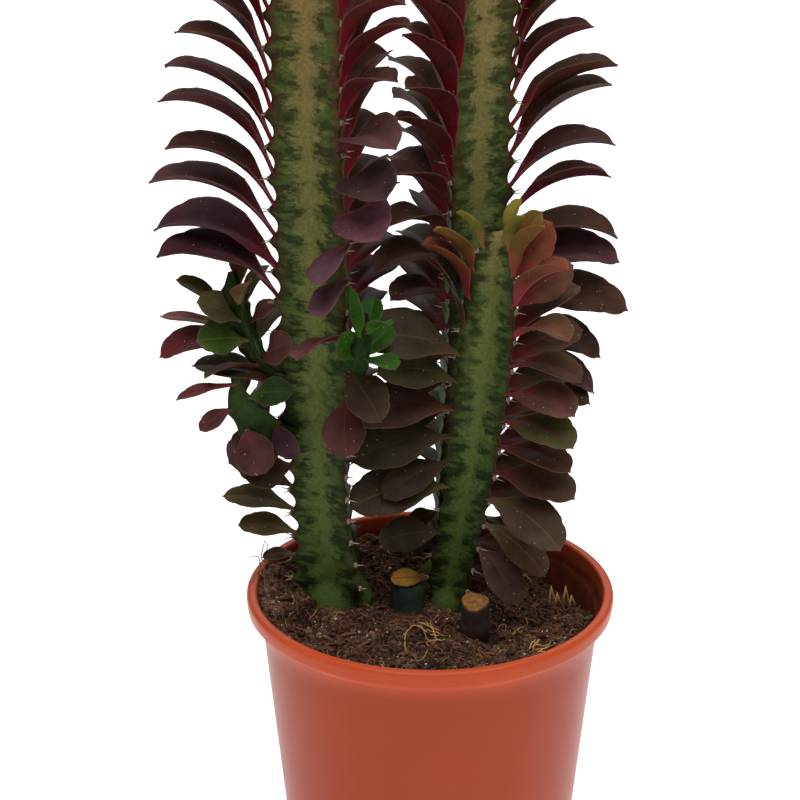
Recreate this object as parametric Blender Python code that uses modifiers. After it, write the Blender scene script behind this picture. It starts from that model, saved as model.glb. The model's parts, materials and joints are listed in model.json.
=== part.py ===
"""Potted red African milk tree: three ribbed stems with leaves and spines, in a plastic pot of soil.

Metres, +Z up. The origin is the middle of the pot's flat bottom, and the front of the plant faces -Y.
"""
import math
import random

import bmesh
import bpy
from mathutils import Matrix, Vector
from mathutils.bvhtree import BVHTree

NAME = "potted_red_african_milk_tree"

# Pot
RIM_RADIUS = 0.0850
RIM_INNER_RADIUS = 0.0800
RIM_HEIGHT = 0.1500
RIM_BAND = 0.0078
WALL_TOP_RADIUS = 0.0782
WALL_FOOT_RADIUS = 0.0648
SHOULDER_HEIGHT = 0.1385
WALL = 0.0016
FLOOR_UNDER = 0.0030
FLOOR_TOP = 0.0050
FOOT_RING = (0.0520, 0.0600)
CENTRE_PAD_RADIUS = 0.0130
DRAIN_HOLE_RADIUS = 0.0040
DRAIN_RING_RADIUS = 0.0360
DRAIN_HOLES = 6
TURNS = 32

# Soil
GAP = 0.0004
SOIL_RINGS = (0.26, 0.52, 0.74, 0.90)

# Stems: points are (x, y, z), keys are (distance from the foot of the peg, value)
RIBS = 3
SECTION = (0.0, 14.0, 60.0, 106.0)
VALLEY = 0.40
SECTION_POWER = 2.2
TOOTH = 0.20
TOOTH_SPREAD = 15.0
RIB_STAGGER = (0.0, 0.08, 0.42)

LEFT_STEM = {
    "name": "left_stem",
    "spiny": True,
    "seed": 11,
    "peg": 0.0150,
    "collar": 0.1430,
    "path": (
        (-0.0410, 0.0046, 0.1000),
        (-0.0420, 0.0046, 0.1430),
        (-0.0466, 0.0046, 0.1917),
        (-0.0474, 0.0046, 0.2413),
        (-0.0480, 0.0046, 0.2895),
        (-0.0490, 0.0048, 0.3361),
        (-0.0500, 0.0052, 0.3850),
        (-0.0497, 0.0056, 0.4252),
        (-0.0492, 0.0060, 0.4740),
    ),
    "radius": (
        (0.043, 0.0208),
        (0.056, 0.0184),
        (0.080, 0.0156),
        (0.112, 0.0156),
        (0.132, 0.0184),
        (0.170, 0.0192),
        (0.330, 0.0194),
        (0.350, 0.0165),
        (0.368, 0.0085),
        (0.374, 0.0030),
    ),
    "pitch": ((0.043, 0.0105), (0.110, 0.0115), (0.140, 0.0142), (0.330, 0.0145), (0.374, 0.0100)),
    "turn": 181.0,
    "ribs": (
        {
            "lift": ((0.05, 20), (0.11, 12), (0.16, 26), (0.20, 44), (0.24, 64), (0.33, 68), (0.37, 78)),
            "curl": ((0.05, 30), (0.11, 22), (0.16, 56), (0.20, 70), (0.24, 76), (0.33, 66), (0.37, 38)),
            "length": ((0.05, 0.016), (0.11, 0.027), (0.15, 0.051), (0.21, 0.063), (0.33, 0.066), (0.37, 0.032)),
            "roll": ((0.05, -25), (0.13, -25), (0.19, -8), (0.24, 0)),
            "fold": ((0.05, 12), (0.13, 15), (0.19, 26), (0.24, 32)),
            "swing": ((0.05, 0), (0.37, 0)),
            "bare": ((0.055, 1.0), (0.060, 0.0), (0.122, 0.0), (0.128, 1.0), (0.180, 1.0), (0.184, 0.0)),
        },
        {
            "lift": ((0.05, 10), (0.13, 5), (0.19, 15), (0.24, 24), (0.27, 48), (0.30, 66), (0.37, 78)),
            "curl": ((0.05, 40), (0.13, 40), (0.19, 55), (0.24, 66), (0.27, 62), (0.30, 50), (0.37, 36)),
            "length": ((0.05, 0.018), (0.13, 0.034), (0.19, 0.046), (0.25, 0.050), (0.33, 0.054), (0.37, 0.030)),
            "roll": ((0.05, 25), (0.24, 30), (0.28, 8), (0.32, 0)),
            "fold": ((0.05, 10), (0.24, 16), (0.28, 40), (0.37, 48)),
            "swing": ((0.05, 10), (0.37, 14)),
            "bare": ((0.195, 1.0), (0.200, 0.0)),
        },
        {
            "lift": ((0.05, 10), (0.13, 20), (0.19, 35), (0.25, 52), (0.33, 64), (0.37, 78)),
            "curl": ((0.05, 30), (0.13, 45), (0.19, 62), (0.25, 70), (0.33, 60), (0.37, 40)),
            "length": ((0.05, 0.016), (0.13, 0.034), (0.19, 0.048), (0.25, 0.055), (0.33, 0.057), (0.37, 0.030)),
            "roll": ((0.05, 0), (0.37, 0)),
            "fold": ((0.05, 12), (0.19, 20), (0.25, 42), (0.37, 48)),
            "swing": ((0.05, 0), (0.37, 0)),
        },
    ),
    "bare": ((0.000, 0.78), (0.085, 0.62), (0.120, 0.12), (0.160, 0.0)),
    "own": {
        (0, 2): {"lift": 24, "curl": 30, "length": 0.029, "wide": 0.52},
        (0, 3): {"lift": 28, "curl": 34, "length": 0.036, "wide": 0.48},
        (0, 4): {"lift": 26, "curl": 30, "length": 0.028, "wide": 0.46},
        (0, 5): {"lift": 4, "curl": 20, "length": 0.026, "wide": 0.75, "roll": -55, "turn": 26},
        (0, 6): {"lift": -10, "curl": 22, "length": 0.031, "wide": 0.80, "roll": -52, "turn": 8},
        (0, 8): {"lift": 30, "curl": 36, "length": 0.044, "wide": 0.44},
        (0, 11): {"lift": 56, "curl": 84, "length": 0.064, "wide": 0.48},
        (0, 12): {"lift": 46, "curl": 80, "length": 0.066, "wide": 0.46},
        (0, 15): {"lift": 70, "length": 0.067},
        (0, 16): {"lift": 68},
        (0, 17): {"lift": 75},
        (0, 18): {"lift": 72},
        (1, 8): {"lift": -44, "curl": 24, "length": 0.028, "wide": 0.74, "turn": -34, "roll": 0},
        (1, 9): {"lift": -14, "curl": 24, "length": 0.036, "wide": 0.56, "roll": 34, "turn": 0},
        (1, 10): {"lift": 20, "curl": 34, "length": 0.043, "wide": 0.50, "turn": -60, "roll": 22},
        (1, 12): {"lift": 6, "curl": 30, "length": 0.041, "wide": 0.54, "turn": -42, "roll": 30},
        (1, 13): {"lift": 8, "curl": 30, "length": 0.042, "wide": 0.54, "turn": -41, "roll": 30},
        (1, 14): {"lift": 18, "curl": 40, "length": 0.045, "wide": 0.62, "turn": -8, "roll": 30},
        (1, 15): {"lift": 26, "curl": 50, "length": 0.047, "wide": 0.58, "turn": -4, "roll": 26},
        (1, 16): {"lift": 36, "curl": 56, "length": 0.048, "wide": 0.58, "turn": 2, "roll": 22},
        (1, 18): {"lift": 58},
        (1, 19): {"lift": 56},
    },
}

REAR_STEM = {
    "name": "rear_stem",
    "spiny": True,
    "seed": 23,
    "peg": 0.0125,
    "collar": 0.1330,
    "path": (
        (0.0085, 0.0510, 0.1000),
        (0.0090, 0.0512, 0.1330),
        (0.0128, 0.0520, 0.1973),
        (0.0160, 0.0528, 0.2483),
        (0.0174, 0.0530, 0.3241),
        (0.0176, 0.0530, 0.3557),
        (0.0184, 0.0530, 0.3849),
        (0.0192, 0.0530, 0.4135),
        (0.0200, 0.0530, 0.4660),
    ),
    "radius": (
        (0.033, 0.0130),
        (0.060, 0.0148),
        (0.100, 0.0164),
        (0.150, 0.0170),
        (0.325, 0.0172),
        (0.345, 0.0146),
        (0.360, 0.0080),
        (0.3665, 0.0030),
    ),
    "pitch": ((0.033, 0.0115), (0.120, 0.0140), (0.320, 0.0145), (0.366, 0.0100)),
    "turn": 122.0,
    "ribs": (
        {
            "lift": ((0.05, 10), (0.13, 25), (0.21, 45), (0.29, 62), (0.36, 78)),
            "curl": ((0.05, 40), (0.13, 55), (0.21, 68), (0.29, 62), (0.36, 40)),
            "length": ((0.05, 0.020), (0.13, 0.044), (0.21, 0.054), (0.33, 0.057), (0.36, 0.030)),
            "roll": ((0.05, 0), (0.36, 0)),
            "fold": ((0.05, 12), (0.15, 20), (0.22, 42), (0.36, 48)),
            "swing": ((0.05, 0), (0.36, 0)),
        },
        {
            "lift": ((0.05, 5), (0.13, 10), (0.19, 35), (0.23, 62), (0.29, 74), (0.36, 80)),
            "curl": ((0.05, 40), (0.13, 55), (0.19, 66), (0.23, 58), (0.29, 46), (0.36, 36)),
            "length": ((0.05, 0.018), (0.13, 0.036), (0.21, 0.050), (0.33, 0.055), (0.36, 0.030)),
            "roll": ((0.05, -20), (0.17, -25), (0.23, 0)),
            "fold": ((0.05, 12), (0.17, 20), (0.23, 38), (0.36, 44)),
            "swing": ((0.05, -20), (0.36, -20)),
        },
        {
            "lift": ((0.05, 0), (0.13, 12), (0.18, 26), (0.23, 52), (0.29, 70), (0.36, 78)),
            "curl": ((0.05, 40), (0.13, 52), (0.18, 62), (0.23, 66), (0.29, 60), (0.36, 38)),
            "length": ((0.05, 0.024), (0.13, 0.048), (0.21, 0.056), (0.33, 0.058), (0.36, 0.030)),
            "roll": ((0.05, 30), (0.15, 28), (0.20, 10), (0.25, 0)),
            "fold": ((0.05, 12), (0.16, 18), (0.20, 36), (0.25, 48)),
            "swing": ((0.05, 0), (0.36, 2)),
        },
    ),
    "bare": ((0.000, 0.75), (0.055, 0.50), (0.090, 0.08), (0.150, 0.0)),
    "own": {
        (2, 9): {"lift": 22, "curl": 58, "length": 0.062, "wide": 0.42},
        (2, 10): {"lift": 36, "length": 0.058},
        (2, 12): {"lift": 52, "length": 0.056},
        (2, 14): {"lift": 58, "length": 0.061},
    },
}

FRONT_STEM = {
    "name": "front_stem",
    "spiny": True,
    "seed": 37,
    "peg": 0.0100,
    "collar": 0.1360,
    "path": (
        (0.0090, 0.0120, 0.1000),
        (0.0096, 0.0120, 0.1360),
        (0.0148, 0.0120, 0.1682),
        (0.0190, 0.0120, 0.1907),
        (0.0222, 0.0120, 0.2139),
        (0.0250, 0.0120, 0.2387),
        (0.0280, 0.0120, 0.2650),
        (0.0296, 0.0120, 0.2890),
        (0.0304, 0.0120, 0.3196),
    ),
    "radius": (
        (0.036, 0.0105),
        (0.060, 0.0114),
        (0.090, 0.0124),
        (0.120, 0.0139),
        (0.150, 0.0147),
        (0.180, 0.0142),
        (0.203, 0.0120),
        (0.217, 0.0070),
        (0.2225, 0.0028),
    ),
    "pitch": ((0.036, 0.0110), (0.120, 0.0132), (0.180, 0.0138), (0.222, 0.0090)),
    "turn": 182.0,
    "wide": ((0.05, 0.50), (0.14, 0.48), (0.18, 0.52), (0.22, 0.46)),
    "ribs": (
        {
            "lift": ((0.05, 0), (0.10, 6), (0.14, 12), (0.165, 34), (0.195, 70), (0.22, 78)),
            "curl": ((0.05, 30), (0.10, 36), (0.14, 42), (0.165, 54), (0.195, 48), (0.22, 30)),
            "length": ((0.05, 0.032), (0.08, 0.045), (0.14, 0.046), (0.18, 0.044), (0.205, 0.030), (0.222, 0.010)),
            "roll": ((0.05, -45), (0.14, -42), (0.165, -18), (0.195, 0)),
            "fold": ((0.05, 12), (0.14, 14), (0.165, 26), (0.195, 40)),
            "swing": ((0.05, 16), (0.22, 16)),
            "bare": ((0.150, 1.0), (0.160, 0.0)),
        },
        {
            "lift": ((0.05, 0), (0.10, 10), (0.14, 20), (0.165, 40), (0.195, 68), (0.22, 78)),
            "curl": ((0.05, 30), (0.10, 40), (0.14, 46), (0.165, 54), (0.195, 46), (0.22, 30)),
            "length": ((0.05, 0.032), (0.08, 0.043), (0.14, 0.046), (0.18, 0.044), (0.205, 0.030), (0.222, 0.010)),
            "roll": ((0.05, 34), (0.14, 30), (0.165, 14), (0.195, 0)),
            "fold": ((0.05, 12), (0.14, 14), (0.165, 26), (0.195, 40)),
            "swing": ((0.05, 24), (0.22, 14)),
            "bare": ((0.060, 1.0), (0.064, 0.0)),
        },
        {
            "lift": ((0.05, 5), (0.10, 16), (0.14, 30), (0.17, 48), (0.195, 68), (0.22, 78)),
            "curl": ((0.05, 30), (0.10, 40), (0.14, 48), (0.17, 54), (0.195, 46), (0.22, 30)),
            "length": ((0.05, 0.024), (0.08, 0.034), (0.14, 0.042), (0.18, 0.044), (0.205, 0.030), (0.222, 0.010)),
            "roll": ((0.05, 30), (0.14, 24), (0.18, 0)),
            "fold": ((0.05, 12), (0.14, 16), (0.18, 34), (0.22, 40)),
            "swing": ((0.05, -38), (0.22, -30)),
        },
    ),
    "bare": ((0.000, 0.30), (0.055, 0.10), (0.080, 0.0)),
    "own": {
        (0, 2): {"lift": 6, "length": 0.034},
        (0, 4): {"lift": -2, "length": 0.050, "wide": 0.50},
        (0, 5): {"lift": -14, "length": 0.038},
        (0, 6): {"lift": 0, "length": 0.050, "wide": 0.50},
        (0, 7): {"lift": 12, "length": 0.050, "wide": 0.48},
        (0, 8): {"lift": 26, "length": 0.042, "wide": 0.52},
        (0, 9): {"lift": 24, "curl": 42, "length": 0.050, "wide": 0.54, "roll": -48},
        (0, 10): {"lift": 70, "curl": 20, "length": 0.040, "wide": 0.46, "roll": -30},
        (1, 2): {"lift": -22, "length": 0.036},
        (1, 3): {"lift": -10, "length": 0.040},
        (1, 4): {"lift": 10, "length": 0.049, "turn": 14},
        (2, 10): {"lift": 44, "curl": 20, "length": 0.036, "wide": 0.56, "roll": 56, "fold": 14, "turn": -50},
        (2, 11): {"lift": 64, "curl": 16, "length": 0.034, "wide": 0.60, "roll": 60, "fold": 10, "turn": -58},
        (2, 12): {"lift": 62, "curl": 14, "length": 0.026, "wide": 0.60, "roll": 58, "turn": -54},
    },
}

# Side shoots of the left stem: short, with broader leaves, alike on all three ribs
LOW_SIDE_SHOOT = {
    "name": "low_side_shoot",
    "spiny": False,
    "seed": 41,
    "path": (
        (-0.0575, 0.0055, 0.2235),
        (-0.0700, 0.0025, 0.2275),
        (-0.0800, -0.0015, 0.2365),
        (-0.0858, -0.0035, 0.2465),
        (-0.0872, -0.0035, 0.2560),
    ),
    "radius": ((0.0, 0.0042), (0.012, 0.0074), (0.026, 0.0094), (0.038, 0.0070), (0.046, 0.0024)),
    "pitch": ((0.0, 0.0100), (0.046, 0.0090)),
    "turn": 160.0,
    "wide": ((0.0, 0.66),),
    "ribs": (
        {
            "lift": ((0.0, 8), (0.030, 20), (0.052, 50)),
            "curl": ((0.0, 20), (0.030, 34), (0.052, 34)),
            "length": ((0.0, 0.020), (0.030, 0.024), (0.052, 0.022)),
            "roll": ((0.0, 0), (0.060, 0)),
            "fold": ((0.0, 14), (0.060, 24)),
            "swing": ((0.0, 0), (0.060, 0)),
        },
    ) * RIBS,
    "bare": ((0.0, 1.0), (0.012, 0.70), (0.030, 0.40)),
    "own": {
        (2, 1): {"lift": -50, "curl": 14, "length": 0.020, "wide": 0.80, "turn": -78, "roll": 0},
        (1, 2): {"lift": -40, "curl": 14, "length": 0.024, "wide": 0.88, "turn": 56, "roll": -6},
        (1, 3): {"lift": 6, "curl": 12, "length": 0.019, "wide": 0.50, "turn": 0, "roll": -50},
        (1, 4): {"lift": 4, "curl": 14, "length": 0.030, "wide": 0.32, "turn": 0, "roll": -10},
        (2, 3): {"lift": 6, "curl": 30, "length": 0.024, "wide": 0.62, "turn": 10, "roll": 36},
    },
}

HIGH_SIDE_SHOOT = {
    "name": "high_side_shoot",
    "spiny": False,
    "seed": 43,
    "path": (
        (-0.0600, 0.0080, 0.2500),
        (-0.0745, 0.0060, 0.2580),
        (-0.0815, 0.0050, 0.2700),
        (-0.0868, 0.0050, 0.2860),
        (-0.0882, 0.0050, 0.3030),
    ),
    "radius": ((0.0, 0.0040), (0.020, 0.0048), (0.036, 0.0066), (0.050, 0.0074), (0.056, 0.0052), (0.062, 0.0020)),
    "pitch": ((0.0, 0.0105), (0.062, 0.0085)),
    "turn": 135.0,
    "wide": ((0.0, 0.50),),
    "ribs": (
        {
            "lift": ((0.0, 4), (0.030, 24), (0.050, 50)),
            "curl": ((0.0, 30), (0.050, 40)),
            "length": ((0.0, 0.026), (0.020, 0.031), (0.050, 0.024)),
            "roll": ((0.0, 0), (0.040, 0)),
            "fold": ((0.0, 14), (0.040, 24)),
            "swing": ((0.0, 0), (0.040, 0)),
        },
    ) * RIBS,
    "bare": ((0.0, 1.0), (0.010, 0.60), (0.062, 0.40)),
    "own": {
        (1, 1): {"lift": 28, "curl": 34, "length": 0.036, "wide": 0.38, "turn": 10, "roll": -14},
        (1, 2): {"lift": 42, "curl": 66, "length": 0.042, "wide": 0.42, "turn": 10, "roll": -22},
        (2, 2): {"lift": 34, "curl": 12, "length": 0.026, "wide": 0.72, "turn": -84, "roll": -58},
        (1, 3): {"lift": 34, "curl": 12, "length": 0.034, "wide": 0.28, "turn": 10, "roll": -10},
        (2, 3): {"lift": 50, "curl": 12, "length": 0.025, "wide": 0.70, "turn": -80, "roll": -56},
        (1, 4): {"lift": 54, "curl": 20, "length": 0.027, "wide": 0.44, "turn": 20, "roll": -30},
        (2, 1): {"lift": 12, "curl": 22, "length": 0.025, "wide": 0.66, "turn": 36, "roll": 40},
        (0, 3): {"lift": 24, "curl": 20, "length": 0.016, "wide": 0.62, "turn": -54, "roll": 40},
    },
}

INNER_SIDE_SHOOT = {
    "name": "inner_side_shoot",
    "spiny": False,
    "seed": 47,
    "path": (
        (-0.0420, -0.0040, 0.2560),
        (-0.0350, -0.0120, 0.2620),
        (-0.0302, -0.0160, 0.2740),
        (-0.0284, -0.0170, 0.2920),
    ),
    "radius": ((0.0, 0.0045), (0.016, 0.0062), (0.030, 0.0050), (0.042, 0.0018)),
    "pitch": ((0.0, 0.0125), (0.042, 0.0110)),
    "turn": 20.0,
    "wide": ((0.0, 0.62),),
    "ribs": (
        {
            "lift": ((0.0, 20), (0.040, 58)),
            "curl": ((0.0, 35), (0.040, 30)),
            "length": ((0.0, 0.020), (0.020, 0.023), (0.040, 0.016)),
            "roll": ((0.0, 0), (0.040, 0)),
            "fold": ((0.0, 14), (0.040, 24)),
            "swing": ((0.0, 0), (0.040, 0)),
        },
    ) * RIBS,
    "bare": ((0.0, 1.0), (0.012, 0.3), (0.030, 0.1)),
    "own": {
        (1, 1): {"lift": 44, "curl": -16, "length": 0.022, "wide": 0.68, "turn": 24, "roll": -70},
        (1, 2): {"lift": 56, "curl": -34, "length": 0.030, "wide": 0.52, "turn": 46, "roll": -20},
        (0, 3): {"lift": 48, "curl": 10, "length": 0.030, "wide": 0.52, "turn": -50, "roll": 40},
    },
}

LEAF_STUB = {
    "name": "leaf_stub",
    "spiny": False,
    "seed": 53,
    "peg": 0.0080,
    "collar": 0.1375,
    "path": (
        (-0.0105, 0.0040, 0.1180),
        (-0.0107, 0.0040, 0.1375),
        (-0.0104, 0.0044, 0.1470),
        (-0.0094, 0.0054, 0.1540),
    ),
    "radius": ((0.019, 0.0094), (0.025, 0.0098), (0.031, 0.0092), (0.0345, 0.0066), (0.0365, 0.0030)),
    "pitch": ((0.019, 0.0070), (0.036, 0.0060)),
    "turn": 250.0,
    "valley": 0.86,
    "ribs": (
        {
            "lift": ((0.0, 52), (0.038, 52)),
            "curl": ((0.0, 50), (0.038, 50)),
            "length": ((0.0, 0.017), (0.038, 0.017)),
            "roll": ((0.0, 0), (0.038, 0)),
            "fold": ((0.0, 12), (0.038, 12)),
            "swing": ((0.0, -25), (0.038, -25)),
        },
    ) * RIBS,
    "bare": ((0.0, 1.0), (0.038, 1.0)),
}

# The plants that stand in the soil
STANDING = (LEFT_STEM, REAR_STEM, FRONT_STEM, LEAF_STUB)

# Leaf
LEAF_WIDTH = ((0.05, 0.50), (0.16, 0.47), (0.25, 0.41), (0.37, 0.39))
LEAF_SHAPE = (
    (0.00, 0.17),
    (0.10, 0.20),
    (0.26, 0.55),
    (0.42, 0.88),
    (0.58, 1.00),
    (0.74, 0.90),
    (0.88, 0.54),
    (1.00, 0.00),
)
LEAF_STATIONS = (0.0, 0.17, 0.48, 0.79)
LEAF_THICK = 0.0016
LEAF_SINK = 0.0040
LEAF_CLEARANCE = 0.0012
CLEAR_STEPS = 20

# Spines
SPINE_LENGTH = 0.0036
SPINE_RADIUS = 0.0006
SPINE_STEP = 4

# Cut stub
CUT_STUB_POINT = (0.0205, -0.0200, 0.1180)
CUT_STUB_RADIUS = 0.0066
CUT_STUB_TOP = 0.1528
CUT_STUB_TILT = 14.0
CUT_STUB_NECK = 0.1385


def keyed(keys, at):
    """Smooth value at a distance, through (distance, value) keys."""
    if at <= keys[0][0]:
        return keys[0][1]
    if at >= keys[-1][0]:
        return keys[-1][1]
    last = next(i for i in range(1, len(keys)) if at <= keys[i][0])
    (a, va), (b, vb) = keys[last - 1], keys[last]
    t = (at - a) / (b - a)
    ease = t * t * (3.0 - 2.0 * t)
    return va + (vb - va) * (0.5 * t + 0.5 * ease)


def smooth_path(points, count):
    """Evenly shared points of a Catmull-Rom curve through the given ones."""
    points = [Vector(p) for p in points]
    ends = [2.0 * points[0] - points[1]] + points + [2.0 * points[-1] - points[-2]]
    found = []
    for i in range(1, len(ends) - 2):
        p0, p1, p2, p3 = ends[i - 1 : i + 3]
        for k in range(count):
            t = k / count
            found.append(
                0.5
                * (
                    2.0 * p1
                    + (p2 - p0) * t
                    + (2.0 * p0 - 5.0 * p1 + 4.0 * p2 - p3) * t * t
                    + (3.0 * p1 - p0 - 3.0 * p2 + p3) * t * t * t
                )
            )
    found.append(points[-1])
    return found


class Shoot:
    """A ribbed shoot: its axis, its ribs and where its teeth are."""

    def __init__(self, plan):
        self.plan = plan
        self.points = smooth_path(plan["path"], 12)
        self.lengths = [0.0]
        for a, b in zip(self.points, self.points[1:]):
            self.lengths.append(self.lengths[-1] + (b - a).length)
        self.total = self.lengths[-1]
        rise = self.points[-1] - self.points[0]
        flat = Vector((rise.x, rise.y, 0.0))
        if flat.length < 0.4 * abs(rise.z):
            self.side = Vector((1.0, 0.0, 0.0))
        else:
            self.side = Vector((-flat.y, flat.x, 0.0)).normalized()
        self.stands = "peg" in plan
        self.start = plan["collar"] - plan["path"][0][2] if self.stands else 0.0
        self.teeth = []
        at = self.start + (0.011 if self.stands else 0.006)
        while at < self.total - 0.003:
            self.teeth.append(at)
            at += keyed(plan["pitch"], at)

    def frame(self, at):
        """Centre, direction and two sideways directions at a distance along the axis."""
        at = min(max(at, 0.0), self.total)
        i = next((k for k in range(1, len(self.lengths)) if at <= self.lengths[k]), len(self.lengths) - 1)
        a, b = self.points[i - 1], self.points[i]
        t = (at - self.lengths[i - 1]) / (self.lengths[i] - self.lengths[i - 1])
        before = self.points[max(i - 2, 0)]
        after = self.points[min(i + 1, len(self.points) - 1)]
        along = ((b - before).lerp(after - a, t)).normalized()
        u = (self.side - along * self.side.dot(along)).normalized()
        return a.lerp(b, t), along, u, along.cross(u)

    def stagger(self, rib_turn):
        """How far a point at an angle round the section is moved along the axis."""
        place = (rib_turn % 360.0) / 120.0
        low = int(place) % RIBS
        t = place - int(place)
        return RIB_STAGGER[low] * (1.0 - t) + RIB_STAGGER[(low + 1) % RIBS] * t

    def fade(self, at):
        """Less stagger where the shoot starts and ends."""
        room = min(at - self.start - 0.004, self.total - 0.004 - at)
        return min(max(room / 0.02, 0.0), 1.0)

    def point(self, at, rib_turn, tooth):
        """A point of the skin: distance, angle from the first rib, and how far a tooth stands out."""
        pitch = keyed(self.plan["pitch"], at)
        moved = at + self.stagger(rib_turn) * pitch * self.fade(at)
        centre, along, u, v = self.frame(moved)
        angle = math.radians(self.plan["turn"] + rib_turn)
        out = u * math.cos(angle) + v * math.sin(angle)
        off = rib_turn % 120.0
        off = min(off, 120.0 - off)
        crest = keyed(self.plan["radius"], moved)
        shape = (1.0 - off / 60.0) ** SECTION_POWER
        valley = self.plan.get("valley", VALLEY)
        jut = TOOTH * tooth * max(0.0, 1.0 - off / TOOTH_SPREAD) * (1.0 - valley) / (1.0 - VALLEY)
        ribbed = crest * (valley + (1.0 - valley) * shape + jut)
        if self.stands:
            t = min(max((at - self.start - 0.0008) / 0.009, 0.0), 1.0)
            ribbed = self.plan["peg"] * (1.0 - t) + ribbed * t
        return centre + out * ribbed

    def body(self):
        """Vertices and triangles of the closed ribbed body: a ring at each tooth, and crest points between."""
        angles = [rib * 120.0 + a for rib in range(RIBS) for a in SECTION]
        count = len(angles)
        rings = [(0.0, 0.0)]
        if self.stands:
            rings.append((self.start + 0.0008, 0.0))
        plain = len(rings) - 1
        rings += [(at, 1.0) for at in self.teeth]
        rings.append((self.total - 0.0006, 0.0))
        vertices = [self.point(at, angle, tooth) for at, tooth in rings for angle in angles]
        faces = []
        for i in range(len(rings) - 1):
            dips = []
            if i > plain:
                middle = (rings[i][0] + rings[i + 1][0]) / 2.0
                for rib in range(RIBS):
                    dips.append(len(vertices))
                    vertices.append(self.point(middle, rib * 120.0, 0.0))
            for k in range(count):
                a, b = i * count + k, i * count + (k + 1) % count
                c, d = a + count, b + count
                if not dips or k % 4 in (1, 2):
                    faces += [(a, b, d), (a, d, c)]
                elif k % 4 == 0:
                    dip = dips[k // 4]
                    faces += [(a, b, dip), (b, d, dip), (dip, d, c)]
                else:
                    dip = dips[(k // 4 + 1) % RIBS]
                    faces += [(a, b, dip), (a, dip, c), (c, dip, d)]
        bottom, top = len(vertices), len(vertices) + 1
        vertices.append(self.frame(0.0)[0])
        vertices.append(self.frame(self.total)[0])
        last = (len(rings) - 1) * count
        for k in range(count):
            faces.append((bottom, (k + 1) % count, k))
            faces.append((top, last + k, last + (k + 1) % count))
        return vertices, faces

    def tooth_frame(self, index, rib):
        """Tip of a tooth, the outward direction there and the axis direction."""
        at = self.teeth[index]
        tip = self.point(at, rib * 120.0, 1.0)
        pitch = keyed(self.plan["pitch"], at)
        centre, along, u, v = self.frame(at + RIB_STAGGER[rib] * pitch * self.fade(at))
        out = (tip - centre).normalized()
        return tip, out, along


def plan_leaves(shoot, shoot_index):
    """One leaf a tooth, less the fallen ones, from the shoot's rules and its seed.

    "own" holds, by rib and tooth, what differs from the rule; a leaf named there hasn't fallen.
    """
    plan = shoot.plan
    chance = random.Random(plan["seed"])
    leaves = []
    for index, at in enumerate(shoot.teeth):
        for rib in range(RIBS):
            draws = [chance.random() for _ in range(9)]
            wobble = [chance.gauss(0.0, 1.0) for _ in range(4)]
            rule = plan["ribs"][rib]
            own = plan.get("own", {}).get((rib, index))
            if own is None and draws[0] < keyed(rule.get("bare", plan["bare"]), at):
                continue
            tip, out, along = shoot.tooth_frame(index, rib)
            leaves.append(
                {
                    "shoot": shoot_index,
                    "tooth": index,
                    "rib": rib,
                    "root": tip + along * 0.0014,
                    "out": out,
                    "along": along,
                    "turn": keyed(rule["swing"], at) + 6.0 * wobble[0],
                    "lift": keyed(rule["lift"], at) + 5.0 * wobble[1],
                    "curl": keyed(rule["curl"], at) + 6.0 * wobble[2],
                    "length": keyed(rule["length"], at) * (0.90 + 0.16 * draws[1]),
                    "wide": keyed(plan.get("wide", LEAF_WIDTH), at) * (0.92 + 0.16 * draws[2]),
                    "roll": keyed(rule["roll"], at) + 7.0 * wobble[3],
                    "fold": keyed(rule["fold"], at) * (0.85 + 0.3 * draws[3]),
                    "drift": 0.10 * (draws[4] - 0.5),
                }
            )
            leaves[-1].update(own or {})
    return leaves


def leaf_curve(leaf, stations, parts=24):
    """Points, directions, sides and upper normals along the midrib at the stations."""
    turn = Matrix.Rotation(math.radians(leaf["turn"]), 3, leaf["along"])
    out = turn @ leaf["out"]
    up = leaf["along"]
    side = up.cross(out)
    step = leaf["length"] / parts
    at = leaf["root"] - leaf["out"] * LEAF_SINK
    sunk = LEAF_SINK / leaf["length"]
    spots = []
    for i in range(parts + 1):
        t = i / parts
        bend = max(0.0, (t - sunk) / (1.0 - sunk)) ** 1.15
        lift = math.radians(leaf["lift"] - leaf["curl"] * bend)
        heading = out * math.cos(lift) + up * math.sin(lift)
        upper = up * math.cos(lift) - out * math.sin(lift)
        spots.append((at.copy(), heading, upper))
        at = at + (heading + side * leaf["drift"] * t) * step
    found = []
    for s in stations:
        k = min(int(s * parts), parts - 1)
        f = s * parts - k
        (pa, ha, na), (pb, hb, nb) = spots[k], spots[k + 1]
        roll = Matrix.Rotation(math.radians(leaf["roll"]) * min(1.0, s * 2.0), 3, ha.lerp(hb, f).normalized())
        found.append((pa.lerp(pb, f), ha.lerp(hb, f), roll @ side, roll @ na.lerp(nb, f).normalized()))
    return found


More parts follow.
